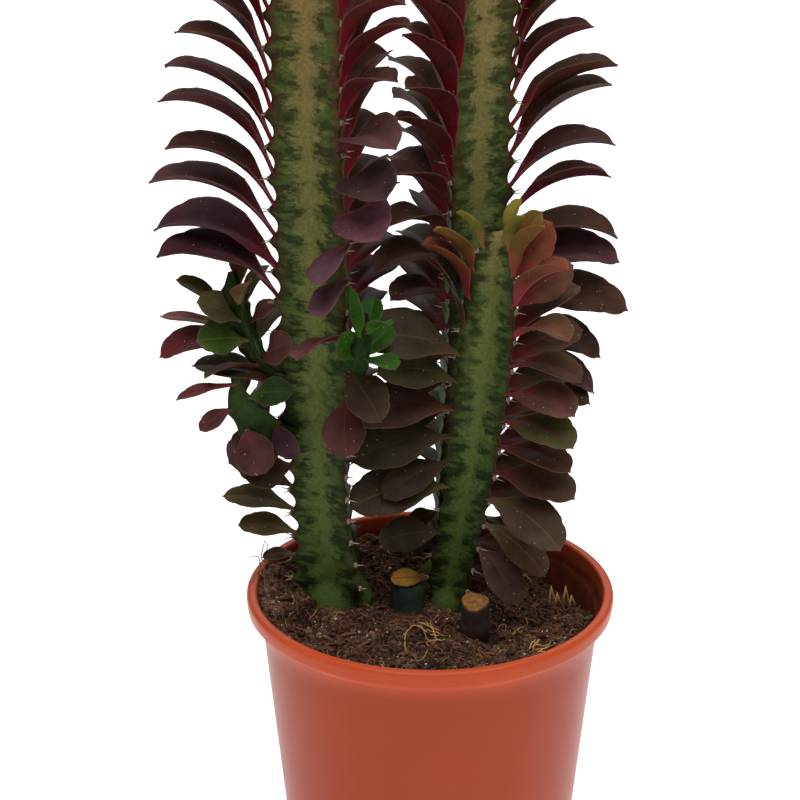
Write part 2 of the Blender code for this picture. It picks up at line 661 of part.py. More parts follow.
def leaf_solid(leaf, grow=0.0):
    """Closed leaf blade, folded along its midrib, thick at the midrib and sharp at the edges."""
    vertices, faces = [], []
    width = leaf["length"] * leaf["wide"]
    curve = leaf_curve(leaf, LEAF_STATIONS + (1.0,))
    for s, (point, heading, side, upper) in zip(LEAF_STATIONS, curve):
        half = max(0.5 * width * keyed(LEAF_SHAPE, s), 0.0015) + grow
        fold = math.radians(leaf["fold"]) * min(1.0, max(0.0, (s - 0.08) / 0.3))
        thick = 0.5 * LEAF_THICK * (1.35 - 0.45 * s) + grow
        edge = side * (half * math.cos(fold))
        raised = upper * (half * math.sin(fold))
        vertices += [
            point - edge + raised,
            point + upper * thick,
            point + edge + raised,
            point - upper * thick,
        ]
    tip, heading = curve[-1][0], curve[-1][1]
    vertices.append(tip + heading * grow)
    for i in range(len(LEAF_STATIONS) - 1):
        for k in range(4):
            a, b = i * 4 + k, i * 4 + (k + 1) % 4
            if k in (0, 3):
                faces.append((a, a + 4, b))
                faces.append((b, a + 4, b + 4))
            else:
                faces.append((a, a + 4, b + 4))
                faces.append((a, b + 4, b))
    last = (len(LEAF_STATIONS) - 1) * 4
    end = len(vertices) - 1
    for k in range(4):
        faces.append((last + k, end, last + (k + 1) % 4))
    faces.append((0, 1, 3))
    faces.append((1, 2, 3))
    return vertices, faces


def spine_pair(tip, out, along):
    """Two short spines as one three-sided double point, its middle inside the tooth."""
    side = along.cross(out)
    middle = tip - out * 0.0014 - along * 0.0004
    vertices = []
    for k in range(3):
        angle = math.radians(90.0 + 120.0 * k)
        vertices.append(middle + (out * math.cos(angle) + along * math.sin(angle)) * SPINE_RADIUS)
    for sign in (-1.0, 1.0):
        vertices.append(middle + (side * sign * 0.78 + out * 0.62 + along * 0.05) * (SPINE_LENGTH + 0.0014))
    faces = [(0, 1, 3), (1, 2, 3), (2, 0, 3), (1, 0, 4), (2, 1, 4), (0, 2, 4)]
    return vertices, faces


def tree_of(solid):
    return BVHTree.FromPolygons([tuple(v) for v in solid[0]], solid[1])


def clear_leaves(leaves, nodes, fixed):
    """Turn, lift and at last shorten each leaf until it is clear of every other node; drop it if it never is.

    A place that crosses none of its own node's leaves and side shoots is taken first, where one is found.
    nodes gives the node name of each shoot, and fixed is [(node name, shoot index, search tree)].
    """
    placed = []
    kept = []
    for leaf in leaves:
        node = nodes[leaf["shoot"]]
        walls = [tree for name, shoot, tree in fixed if name != node]
        own = [tree for name, shoot, tree in fixed if name == node and shoot != leaf["shoot"]]
        near = [spot for spot in placed if (leaf["root"] - spot["root"]).length < 0.13]
        start = dict(leaf)
        found = None
        for step in range(CLEAR_STEPS):
            trial = dict(start)
            trial["turn"] += (5.0 if step % 2 else -5.0) * ((step + 1) // 2)
            trial["lift"] += 1.5 * step
            trial["length"] *= 1.0 - 0.015 * max(0, step - 6)
            grown = tree_of(leaf_solid(trial, LEAF_CLEARANCE))
            if any(grown.overlap(wall) for wall in walls):
                continue
            if any(spot["node"] != node and grown.overlap(spot["grown"]) for spot in near):
                continue
            true = tree_of(leaf_solid(trial))
            crossed = sum(1 for tree in own if true.overlap(tree))
            crossed += sum(1 for spot in near if spot["node"] == node and true.overlap(spot["true"]))
            if found is None or crossed < found["crossed"]:
                found = {"leaf": trial, "grown": grown, "true": true, "crossed": crossed}
            if crossed == 0:
                break
        if found:
            placed.append({"node": node, "root": leaf["root"], "grown": found["grown"], "true": found["true"]})
            kept.append(found["leaf"])
    return kept


def wall_inside(z):
    """Inner radius of the pot's tapered wall at a height, and the same above the wall as at its top."""
    t = min((z - FLOOR_TOP) / (SHOULDER_HEIGHT - FLOOR_TOP), 1.0)
    return (WALL_FOOT_RADIUS - WALL) * (1.0 - t) + (WALL_TOP_RADIUS - WALL) * t


def soil_height(x, y):
    """Uneven top of the soil: banked up at the left and back left, hollow at the back right."""
    z = 0.1372
    z += 0.0055 * math.exp(-((x + 0.070) ** 2 + (y - 0.015) ** 2) / 0.0030)
    z += 0.0040 * math.exp(-((x + 0.035) ** 2 + (y - 0.062) ** 2) / 0.0008)
    z -= 0.0110 * math.exp(-((x - 0.062) ** 2 + (y - 0.030) ** 2) / 0.0012)
    z -= 0.0030 * math.exp(-((x - 0.005) ** 2 + (y + 0.070) ** 2) / 0.0012)
    z += 0.0022 * math.exp(-((x + 0.012) ** 2 + (y + 0.030) ** 2) / 0.0003)
    z += 0.0009 * math.sin(95.0 * x + 1.0) * math.cos(83.0 * y - 0.4)
    z += 0.0006 * math.sin(210.0 * x - 170.0 * y)
    for plan in STANDING:
        foot = plan["path"][1]
        away = math.hypot(x - foot[0], y - foot[1])
        reach = plan["peg"] + 0.004
        t = min(max((away - reach) / 0.012, 0.0), 1.0)
        t = t * t * (3.0 - 2.0 * t)
        z = (plan["collar"] - 0.0004) * (1.0 - t) + z * t
    return z


def new_object(name, solid, collection):
    mesh = bpy.data.meshes.new(name)
    mesh.from_pydata([tuple(v) for v in solid[0]], [], solid[1])
    mesh.validate()
    bm = bmesh.new()
    bm.from_mesh(mesh)
    bmesh.ops.recalc_face_normals(bm, faces=bm.faces)
    bm.to_mesh(mesh)
    bm.free()
    item = bpy.data.objects.new(name, mesh)
    collection.objects.link(item)
    return item


def evaluated_mesh(item):
    bpy.context.view_layer.update()
    graph = bpy.context.evaluated_depsgraph_get()
    return bpy.data.meshes.new_from_object(item.evaluated_get(graph), depsgraph=graph)


def keep_largest(mesh):
    """Fill sealed hollows and drop loose scraps: only the largest connected shell stays."""
    bm = bmesh.new()
    bm.from_mesh(mesh)
    bm.verts.ensure_lookup_table()
    seen = set()
    shells = []
    for vertex in bm.verts:
        if vertex in seen:
            continue
        stack, shell = [vertex], []
        seen.add(vertex)
        while stack:
            here = stack.pop()
            shell.append(here)
            for edge in here.link_edges:
                other = edge.other_vert(here)
                if other not in seen:
                    seen.add(other)
                    stack.append(other)
        shells.append(shell)
    shells.sort(key=len)
    for shell in shells[:-1]:
        bmesh.ops.delete(bm, geom=shell, context="VERTS")
    bmesh.ops.triangulate(bm, faces=[f for f in bm.faces if len(f.verts) > 3])
    bm.to_mesh(mesh)
    bm.free()


def fuse(item, solids):
    """Join a node's repeats to its body with one union on a collection."""
    repeats = bpy.data.collections.new(item.name + "_repeats")
    bpy.context.scene.collection.children.link(repeats)
    made = [new_object(item.name + "_repeat", solid, repeats) for solid in solids]
    union = item.modifiers.new("repeats", "BOOLEAN")
    union.operation = "UNION"
    union.operand_type = "COLLECTION"
    union.collection = repeats
    union.solver = "MANIFOLD"
    mesh = evaluated_mesh(item)
    item.modifiers.remove(union)
    for extra in made:
        old = extra.data
        bpy.data.objects.remove(extra)
        bpy.data.meshes.remove(old)
    bpy.data.collections.remove(repeats)
    keep_largest(mesh)
    mesh.name = item.name
    item.data = mesh


def material(name, colour, roughness):
    made = bpy.data.materials.new(name)
    made.use_nodes = True
    shader = made.node_tree.nodes["Principled BSDF"]
    shader.inputs["Base Color"].default_value = (*colour, 1.0)
    shader.inputs["Roughness"].default_value = roughness
    shader.inputs["Metallic"].default_value = 0.0
    return made


def shade_smooth(item):
    for face in item.data.polygons:
        face.use_smooth = True


def cylinder(name, radius, low, high, place, sides, collection):
    """Upright cylinder whose flats, not corners, are at the radius."""
    bm = bmesh.new()
    bmesh.ops.create_cone(
        bm,
        cap_ends=True,
        segments=sides,
        radius1=radius / math.cos(math.pi / sides),
        radius2=radius / math.cos(math.pi / sides),
        depth=high - low,
    )
    mesh = bpy.data.meshes.new(name)
    bm.to_mesh(mesh)
    bm.free()
    item = bpy.data.objects.new(name, mesh)
    item.location = (place[0], place[1], (low + high) / 2.0)
    collection.objects.link(item)
    return item


def cut(item, cutters, name):
    made = item.modifiers.new(name, "BOOLEAN")
    made.operation = "DIFFERENCE"
    made.operand_type = "COLLECTION"
    made.collection = cutters
    made.solver = "EXACT"


def pot_profile():
    """Outer side from the rim's top down to the foot, then the inside back up."""
    lip = RIM_HEIGHT - RIM_BAND
    return [
        (RIM_RADIUS - 0.0016, RIM_HEIGHT),
        (RIM_RADIUS, RIM_HEIGHT - 0.0018),
        (RIM_RADIUS - 0.0005, lip + 0.0008),
        (RIM_RADIUS - 0.0014, lip),
        (RIM_RADIUS - 0.0024, lip + 0.0040),
        (RIM_INNER_RADIUS + 0.0010, lip + 0.0036),
        (RIM_INNER_RADIUS + 0.0005, SHOULDER_HEIGHT + 0.0014),
        (WALL_TOP_RADIUS, SHOULDER_HEIGHT - 0.0006),
        (WALL_FOOT_RADIUS, 0.0030),
        (FOOT_RING[1], 0.0),
        (FOOT_RING[0], 0.0),
        (FOOT_RING[0] - 0.0014, FLOOR_UNDER),
        (CENTRE_PAD_RADIUS + 0.0014, FLOOR_UNDER),
        (CENTRE_PAD_RADIUS, 0.0),
        (0.0, 0.0),
        (0.0, FLOOR_TOP),
        (WALL_FOOT_RADIUS - WALL, FLOOR_TOP),
        (WALL_TOP_RADIUS - WALL, SHOULDER_HEIGHT),
        (RIM_INNER_RADIUS - 0.0006, SHOULDER_HEIGHT + 0.0030),
        (RIM_INNER_RADIUS + 0.0006, RIM_HEIGHT),
    ]


def make_pot(parts, cutters):
    profile = pot_profile()
    mesh = bpy.data.meshes.new("pot")
    loop = [(r, 0.0, z) for r, z in profile]
    edges = [(i, (i + 1) % len(loop)) for i in range(len(loop))]
    edges = [(a, b) for a, b in edges if loop[a][0] > 0.0 or loop[b][0] > 0.0]
    mesh.from_pydata(loop, edges, [])
    pot = bpy.data.objects.new("pot", mesh)
    parts.objects.link(pot)
    lathe = pot.modifiers.new("lathe", "SCREW")
    lathe.steps = TURNS
    lathe.render_steps = TURNS
    lathe.use_merge_vertices = True
    lathe.merge_threshold = 0.00001
    lathe.use_normal_calculate = True
    lathe.use_smooth_shade = True
    drains = bpy.data.collections.new("drain_cutters")
    cutters.children.link(drains)
    for k in range(DRAIN_HOLES):
        angle = 2.0 * math.pi * (k + 0.5) / DRAIN_HOLES
        place = (DRAIN_RING_RADIUS * math.cos(angle), DRAIN_RING_RADIUS * math.sin(angle))
        cylinder("drain_hole", DRAIN_HOLE_RADIUS, -0.002, 0.010, place, 10, drains)
    cut(pot, drains, "drain_holes")
    pot.data.materials.append(material("pot_plastic", (0.36, 0.075, 0.032), 0.38))
    return pot


def make_soil(parts, cutters):
    vertices, faces = [], []
    vertices.append((0.0, 0.0, soil_height(0.0, 0.0)))
    edge = WALL_TOP_RADIUS - WALL - GAP
    spokes = [2.0 * math.pi * k / TURNS for k in range(TURNS)]
    for share in SOIL_RINGS:
        for a in spokes:
            x, y = edge * share * math.cos(a), edge * share * math.sin(a)
            vertices.append((x, y, soil_height(x, y)))
    tops = []
    for a in spokes:
        z = soil_height(edge * math.cos(a), edge * math.sin(a))
        tops.append(z)
        r = wall_inside(z) - GAP
        vertices.append((r * math.cos(a), r * math.sin(a), z))
    for a, z in zip(spokes, tops):
        low = min(z - 0.002, SHOULDER_HEIGHT - GAP)
        r = wall_inside(low) - GAP
        vertices.append((r * math.cos(a), r * math.sin(a), low))
    floor = FLOOR_TOP + GAP
    for a in spokes:
        r = wall_inside(floor) - GAP
        vertices.append((r * math.cos(a), r * math.sin(a), floor))
    vertices.append((0.0, 0.0, floor))
    rings = len(SOIL_RINGS) + 3
    for k in range(TURNS):
        n = (k + 1) % TURNS
        faces.append((0, 1 + k, 1 + n))
        for i in range(rings - 1):
            a, b = 1 + i * TURNS + k, 1 + i * TURNS + n
            faces.append((a, a + TURNS, b + TURNS))
            faces.append((a, b + TURNS, b))
        faces.append((len(vertices) - 1, 1 + (rings - 1) * TURNS + n, 1 + (rings - 1) * TURNS + k))
    soil = new_object("soil", (vertices, faces), parts)
    holes = bpy.data.collections.new("stem_hole_cutters")
    cutters.children.link(holes)
    for plan in STANDING:
        foot = plan["path"][0]
        low = foot[2] - 0.0006
        made = cylinder("stem_hole", plan["peg"] + GAP, low, 0.17, foot, 20, holes)
        lean = Vector(plan["path"][1]) - Vector(foot)
        made.data.transform(Matrix.Shear("XY", 4, (lean.x / lean.z, lean.y / lean.z)))
        middle = (low + 0.17) / 2.0 - foot[2]
        made.location.x += lean.x / lean.z * middle
        made.location.y += lean.y / lean.z * middle
    cylinder("stub_hole", CUT_STUB_RADIUS + GAP, CUT_STUB_POINT[2] - GAP, 0.17, CUT_STUB_POINT, 20, holes)
    cut(soil, holes, "stem_holes")
    soil.data.materials.append(material("peat_soil", (0.035, 0.018, 0.010), 0.95))
    return soil


def make_cut_stub(parts):
    """Dead stump: a lathed peg with a knobbly neck, its cut face leaning to the front."""
    x, y, low = CUT_STUB_POINT
    profile = [
        (0.0, low),
        (CUT_STUB_RADIUS, low),
        (CUT_STUB_RADIUS, CUT_STUB_NECK - 0.0006),
        (CUT_STUB_RADIUS * 1.12, CUT_STUB_NECK + 0.0018),
        (CUT_STUB_RADIUS * 0.96, CUT_STUB_NECK + 0.0060),
        (CUT_STUB_RADIUS * 0.93, CUT_STUB_TOP - 0.0010),
        (CUT_STUB_RADIUS * 0.80, CUT_STUB_TOP),
        (CUT_STUB_RADIUS * 0.55, CUT_STUB_TOP - 0.0006),
        (0.0, CUT_STUB_TOP - 0.0008),
    ]
    mesh = bpy.data.meshes.new("cut_stub")
    mesh.from_pydata([(r, 0.0, z) for r, z in profile], [(i, i + 1) for i in range(len(profile) - 1)], [])
    stub = bpy.data.objects.new("cut_stub", mesh)
    parts.objects.link(stub)
    lathe = stub.modifiers.new("lathe", "SCREW")
    lathe.steps = 14
    lathe.render_steps = 14
    lathe.use_merge_vertices = True
    lathe.merge_threshold = 0.00001
    lathe.use_normal_calculate = True
    stub.data = evaluated_mesh(stub)
    stub.modifiers.clear()
    lean = math.tan(math.radians(CUT_STUB_TILT))
    for vertex in stub.data.vertices:
        above = max(0.0, vertex.co.z - CUT_STUB_NECK) / (CUT_STUB_TOP - CUT_STUB_NECK)
        angle = math.atan2(vertex.co.y, vertex.co.x)
        swell = 1.0 + 0.08 * above * math.sin(3.0 * angle + 0.6)
        vertex.co.z += lean * vertex.co.y * above
        vertex.co.x = vertex.co.x * swell + x
        vertex.co.y = vertex.co.y * swell + y
    stub.data.materials.append(material("dead_stem", (0.10, 0.050, 0.022), 0.85))
    return stub


def make_plants(parts):
    """The ribbed nodes, each body fused with its shoots, leaves and spines."""
    plans = (LEFT_STEM, LOW_SIDE_SHOOT, HIGH_SIDE_SHOOT, INNER_SIDE_SHOOT, REAR_STEM, FRONT_STEM, LEAF_STUB)
    nodes = ("left_stem",) * 4 + ("rear_stem", "front_stem", "leaf_stub")
    shoots = [Shoot(plan) for plan in plans]
    bodies = [shoot.body() for shoot in shoots]
    fixed = [(node, i, tree_of(body)) for i, (node, body) in enumerate(zip(nodes, bodies))]
    fixed.append(("soil", None, soil_tree()))
    fixed.append(("pot", None, rim_tree()))
    leaves = [stub_leaf(shoots[-1], len(shoots) - 1)]
    for index, shoot in enumerate(shoots):
        leaves += plan_leaves(shoot, index)
    leaves = clear_leaves(leaves, nodes, fixed)
    stem_green = material("stem_green", (0.055, 0.085, 0.030), 0.50)
    stub_green = material("stub_green", (0.075, 0.105, 0.025), 0.50)
    made = []
    for name in ("left_stem", "rear_stem", "front_stem", "leaf_stub"):
        own = [i for i, node in enumerate(nodes) if node == name]
        item = new_object(name, bodies[own[0]], parts)
        solids = [bodies[i] for i in own[1:]]
        solids += [leaf_solid(leaf) for leaf in leaves if nodes[leaf["shoot"]] == name]
        for i in own:
            shoot = shoots[i]
            if shoot.plan["spiny"]:
                for index in range(len(shoot.teeth)):
                    for rib in range(RIBS):
                        if (index + rib) % SPINE_STEP == 0:
                            solids.append(spine_pair(*shoot.tooth_frame(index, rib)))
        if solids:
            fuse(item, solids)
        item.data.materials.clear()
        item.data.materials.append(stub_green if name == "leaf_stub" else stem_green)
        made.append(item)
    return made


def stub_leaf(shoot, shoot_index):
    """The one yellow-orange leaf of the small stub, on its top."""
    top = shoot.frame(shoot.total - 0.006)[0]
    out = Vector((-0.97, -0.20, 0.06)).normalized()
    lean = Vector((0.0, -0.62, 0.78))
    up = (lean - out * lean.dot(out)).normalized()
    return {
        "shoot": shoot_index,
        "tooth": 0,
        "rib": 0,
        "root": top - out * 0.0036 + up * 0.0074,
        "out": out,
        "along": up,
        "turn": 0.0,
        "lift": 10.0,
        "curl": 34.0,
        "length": 0.0175,
        "wide": 0.56,
        "roll": 0.0,
        "fold": 8.0,
        "drift": 0.0,
    }


def soil_tree():
    """Coarse top of the soil, to keep leaves clear of it."""
    steps = 20
    size = 0.080
    vertices, faces = [], []
    for i in range(steps + 1):
        for k in range(steps + 1):
            x, y = (2.0 * i / steps - 1.0) * size, (2.0 * k / steps - 1.0) * size
            vertices.append((x, y, soil_height(x, y) + 0.0008))
    for i in range(steps):
        for k in range(steps):
            a = i * (steps + 1) + k
            faces.append((a, a + 1, a + steps + 2, a + steps + 1))
    return BVHTree.FromPolygons(vertices, faces)


def rim_tree():
    """The rim's outline, to keep leaves clear of it."""
    vertices, faces = [], []
    ring = [(0.0770, 0.1380), (0.0800, 0.1500), (0.0850, 0.1500), (0.0850, 0.1420)]
    for k in range(TURNS):
        angle = 2.0 * math.pi * k / TURNS
        for r, z in ring:
            vertices.append((r * math.cos(angle), r * math.sin(angle), z))
    for k in range(TURNS):
        n = (k + 1) % TURNS
        for i in range(len(ring) - 1):
            faces.append((k * 4 + i, n * 4 + i, n * 4 + i + 1, k * 4 + i + 1))
    return BVHTree.FromPolygons(vertices, faces)


def main():
    for item in list(bpy.data.objects):
        bpy.data.objects.remove(item)
    parts = bpy.data.collections.new(NAME)
    bpy.context.scene.collection.children.link(parts)
    cutters = bpy.data.collections.new("cutters")
    bpy.context.scene.collection.children.link(cutters)
    make_pot(parts, cutters)
    make_soil(parts, cutters)
    make_plants(parts)
    make_cut_stub(parts)
    for item in cutters.all_objects:
        item.hide_render = True
        item.display_type = "WIRE"
    shade_smooth(parts.objects["cut_stub"])


main()
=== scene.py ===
"""Potted red African milk tree, dressed in fine detail over its solid parts: skin, blades, spines, soil, pot.

Metres, +Z up. The origin is the middle of the pot's flat bottom, and the front of the plant faces -Y.
"""

import itertools
import json
import math
import random

import bmesh
import bpy
from mathutils import Matrix, Vector, noise
from mathutils.bvhtree import BVHTree

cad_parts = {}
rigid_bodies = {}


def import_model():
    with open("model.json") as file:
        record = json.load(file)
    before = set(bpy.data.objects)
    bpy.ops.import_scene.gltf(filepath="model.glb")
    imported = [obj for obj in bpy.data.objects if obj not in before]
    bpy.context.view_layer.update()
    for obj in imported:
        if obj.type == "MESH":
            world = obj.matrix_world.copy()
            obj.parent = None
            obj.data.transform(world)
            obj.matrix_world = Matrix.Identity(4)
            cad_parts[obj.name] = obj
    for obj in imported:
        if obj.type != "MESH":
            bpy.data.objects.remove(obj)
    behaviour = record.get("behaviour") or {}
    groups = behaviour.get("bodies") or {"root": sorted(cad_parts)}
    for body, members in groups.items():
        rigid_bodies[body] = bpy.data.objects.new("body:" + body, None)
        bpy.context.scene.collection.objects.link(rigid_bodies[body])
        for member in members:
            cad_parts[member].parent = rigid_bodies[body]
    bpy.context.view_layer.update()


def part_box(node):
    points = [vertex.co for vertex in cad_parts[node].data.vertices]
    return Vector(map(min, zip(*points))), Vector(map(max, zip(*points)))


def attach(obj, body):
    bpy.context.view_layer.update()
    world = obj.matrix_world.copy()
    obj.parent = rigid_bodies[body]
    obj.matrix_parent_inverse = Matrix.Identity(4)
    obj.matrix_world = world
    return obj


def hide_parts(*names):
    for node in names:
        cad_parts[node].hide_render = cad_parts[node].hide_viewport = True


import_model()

bl_info = {
    "name": "Potted red African milk tree",
    "version": (1, 0, 0),
    "blender": (4, 5, 0),
    "location": "3D View > Sidebar > Milk Tree",
    "description": "Dresses a potted milk tree: ribbed skins, leaves, spines, peat soil and nursery pot",
    "category": "Object",
}

# Pot
RIM_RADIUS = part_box("pot")[1].x
RIM_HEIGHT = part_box("pot")[1].z
RIM_INNER_RADIUS = 0.0800
RIM_BAND = 0.0078
WALL_TOP_RADIUS = 0.0782
WALL_FOOT_RADIUS = 0.0648
SHOULDER_HEIGHT = 0.1385
WALL = 0.0016
FLOOR_UNDER = 0.0030
FLOOR_TOP = 0.0050
FOOT_RING = (0.0520, 0.0600)
CENTRE_PAD_RADIUS = 0.0130
DRAIN_HOLE_RADIUS = 0.0040
DRAIN_RING_RADIUS = 0.0360
DRAIN_HOLES = 6
RIM_TURNS = 32

# Stems: points are (x, y, z), keys are (distance from the foot of the peg, value)
RIBS = 3
SECTION = (0.0, 14.0, 60.0, 106.0)
VALLEY = 0.40
SECTION_POWER = 2.2
TOOTH = 0.20
TOOTH_SPREAD = 15.0
RIB_STAGGER = (0.0, 0.08, 0.42)

LEFT_STEM = {
    "name": "left_stem",
    "spiny": True,
    "seed": 11,
    "peg": 0.0150,
    "collar": 0.1430,
    "path": (
        (-0.0410, 0.0046, 0.1000), (-0.0420, 0.0046, 0.1430), (-0.0466, 0.0046, 0.1917),
        (-0.0474, 0.0046, 0.2413), (-0.0480, 0.0046, 0.2895), (-0.0490, 0.0048, 0.3361),
        (-0.0500, 0.0052, 0.3850), (-0.0497, 0.0056, 0.4252), (-0.0492, 0.0060, 0.4740),
    ),
    "radius": (
        (0.043, 0.0208), (0.056, 0.0184), (0.080, 0.0156), (0.112, 0.0156), (0.132, 0.0184),
        (0.170, 0.0192), (0.330, 0.0194), (0.350, 0.0165), (0.368, 0.0085), (0.374, 0.0030),
    ),
    "pitch": ((0.043, 0.0105), (0.110, 0.0115), (0.140, 0.0142), (0.330, 0.0145), (0.374, 0.0100)),
    "turn": 181.0,
    "ribs": (
        {
            "lift": ((0.05, 20), (0.11, 12), (0.16, 26), (0.20, 44), (0.24, 64), (0.33, 68), (0.37, 78)),
            "curl": ((0.05, 30), (0.11, 22), (0.16, 56), (0.20, 70), (0.24, 76), (0.33, 66), (0.37, 38)),
            "length": (
                (0.05, 0.016), (0.11, 0.027), (0.15, 0.051), (0.21, 0.063), (0.33, 0.066),
                (0.37, 0.032),
            ),
            "roll": ((0.05, -25), (0.13, -25), (0.19, -8), (0.24, 0)),
            "fold": ((0.05, 12), (0.13, 15), (0.19, 26), (0.24, 32)),
            "swing": ((0.05, 0),),
            "bare": ((0.055, 1.0), (0.060, 0.0), (0.122, 0.0), (0.128, 1.0), (0.180, 1.0), (0.184, 0.0)),
        },
        {
            "lift": ((0.05, 10), (0.13, 5), (0.19, 15), (0.24, 24), (0.27, 48), (0.30, 66), (0.37, 78)),
            "curl": ((0.05, 40), (0.13, 40), (0.19, 55), (0.24, 66), (0.27, 62), (0.30, 50), (0.37, 36)),
            "length": (
                (0.05, 0.018), (0.13, 0.034), (0.19, 0.046), (0.25, 0.050), (0.33, 0.054),
                (0.37, 0.030),
            ),
            "roll": ((0.05, 25), (0.24, 30), (0.28, 8), (0.32, 0)),
            "fold": ((0.05, 10), (0.24, 16), (0.28, 40), (0.37, 48)),
            "swing": ((0.05, 10), (0.37, 14)),
            "bare": ((0.195, 1.0), (0.200, 0.0)),
        },
        {
            "lift": ((0.05, 10), (0.13, 20), (0.19, 35), (0.25, 52), (0.33, 64), (0.37, 78)),
            "curl": ((0.05, 30), (0.13, 45), (0.19, 62), (0.25, 70), (0.33, 60), (0.37, 40)),
            "length": (
                (0.05, 0.016), (0.13, 0.034), (0.19, 0.048), (0.25, 0.055), (0.33, 0.057),
                (0.37, 0.030),
            ),
            "roll": ((0.05, 0),),
            "fold": ((0.05, 12), (0.19, 20), (0.25, 42), (0.37, 48)),
            "swing": ((0.05, 0),),
        },
    ),
    "bare": ((0.000, 0.78), (0.085, 0.62), (0.120, 0.12), (0.160, 0.0)),
    "own": {
        (0, 2): {"lift": 24, "curl": 30, "length": 0.029, "wide": 0.52},
        (0, 3): {"lift": 28, "curl": 34, "length": 0.036, "wide": 0.48},
        (0, 4): {"lift": 26, "curl": 30, "length": 0.028, "wide": 0.46},
        (0, 5): {"lift": 4, "curl": 20, "length": 0.026, "wide": 0.75, "roll": -55, "turn": 26},
        (0, 6): {"lift": -10, "curl": 22, "length": 0.031, "wide": 0.80, "roll": -52, "turn": 8},
        (0, 8): {"lift": 30, "curl": 36, "length": 0.044, "wide": 0.44},
        (0, 11): {"lift": 56, "curl": 84, "length": 0.064, "wide": 0.48},
        (0, 12): {"lift": 46, "curl": 80, "length": 0.066, "wide": 0.46},
        (0, 15): {"lift": 70, "length": 0.067},
        (0, 16): {"lift": 68},
        (0, 17): {"lift": 75},
        (0, 18): {"lift": 72},
        (1, 8): {"lift": -44, "curl": 24, "length": 0.028, "wide": 0.74, "turn": -34, "roll": 0},
        (1, 9): {"lift": -14, "curl": 24, "length": 0.036, "wide": 0.56, "roll": 34, "turn": 0},
        (1, 10): {"lift": 20, "curl": 34, "length": 0.043, "wide": 0.50, "turn": -60, "roll": 22},
        (1, 12): {"lift": 6, "curl": 30, "length": 0.041, "wide": 0.54, "turn": -42, "roll": 30},
        (1, 13): {"lift": 8, "curl": 30, "length": 0.042, "wide": 0.54, "turn": -41, "roll": 30},
        (1, 14): {"lift": 18, "curl": 40, "length": 0.045, "wide": 0.62, "turn": -8, "roll": 30},
        (1, 15): {"lift": 26, "curl": 50, "length": 0.047, "wide": 0.58, "turn": -4, "roll": 26},
        (1, 16): {"lift": 36, "curl": 56, "length": 0.048, "wide": 0.58, "turn": 2, "roll": 22},
        (1, 18): {"lift": 58},
        (1, 19): {"lift": 56},
    },
}

REAR_STEM = {
    "name": "rear_stem",
    "spiny": True,
    "seed": 23,
    "peg": 0.0125,
    "collar": 0.1330,
    "path": (
        (0.0085, 0.0510, 0.1000), (0.0090, 0.0512, 0.1330), (0.0128, 0.0520, 0.1973),
        (0.0160, 0.0528, 0.2483), (0.0174, 0.0530, 0.3241), (0.0176, 0.0530, 0.3557),
        (0.0184, 0.0530, 0.3849), (0.0192, 0.0530, 0.4135), (0.0200, 0.0530, 0.4660),
    ),
    "radius": (
        (0.033, 0.0130), (0.060, 0.0148), (0.100, 0.0164), (0.150, 0.0170), (0.325, 0.0172),
        (0.345, 0.0146), (0.360, 0.0080), (0.3665, 0.0030),
    ),
    "pitch": ((0.033, 0.0115), (0.120, 0.0140), (0.320, 0.0145), (0.366, 0.0100)),
    "turn": 122.0,
    "ribs": (
        {
            "lift": ((0.05, 10), (0.13, 25), (0.21, 45), (0.29, 62), (0.36, 78)),
            "curl": ((0.05, 40), (0.13, 55), (0.21, 68), (0.29, 62), (0.36, 40)),
            "length": ((0.05, 0.020), (0.13, 0.044), (0.21, 0.054), (0.33, 0.057), (0.36, 0.030)),
            "roll": ((0.05, 0),),
            "fold": ((0.05, 12), (0.15, 20), (0.22, 42), (0.36, 48)),
            "swing": ((0.05, 0),),
        },
        {
            "lift": ((0.05, 5), (0.13, 10), (0.19, 35), (0.23, 62), (0.29, 74), (0.36, 80)),
            "curl": ((0.05, 40), (0.13, 55), (0.19, 66), (0.23, 58), (0.29, 46), (0.36, 36)),
            "length": ((0.05, 0.018), (0.13, 0.036), (0.21, 0.050), (0.33, 0.055), (0.36, 0.030)),
            "roll": ((0.05, -20), (0.17, -25), (0.23, 0)),
            "fold": ((0.05, 12), (0.17, 20), (0.23, 38), (0.36, 44)),
            "swing": ((0.05, -20),),
        },
        {
            "lift": ((0.05, 0), (0.13, 12), (0.18, 26), (0.23, 52), (0.29, 70), (0.36, 78)),
            "curl": ((0.05, 40), (0.13, 52), (0.18, 62), (0.23, 66), (0.29, 60), (0.36, 38)),
            "length": ((0.05, 0.024), (0.13, 0.048), (0.21, 0.056), (0.33, 0.058), (0.36, 0.030)),
            "roll": ((0.05, 30), (0.15, 28), (0.20, 10), (0.25, 0)),
            "fold": ((0.05, 12), (0.16, 18), (0.20, 36), (0.25, 48)),
            "swing": ((0.05, 0), (0.36, 2)),
        },
    ),
    "bare": ((0.000, 0.75), (0.055, 0.50), (0.090, 0.08), (0.150, 0.0)),
    "own": {
        (2, 9): {"lift": 22, "curl": 58, "length": 0.062, "wide": 0.42},
        (2, 10): {"lift": 36, "length": 0.058},
        (2, 12): {"lift": 52, "length": 0.056},
        (2, 14): {"lift": 58, "length": 0.061},
    },
}

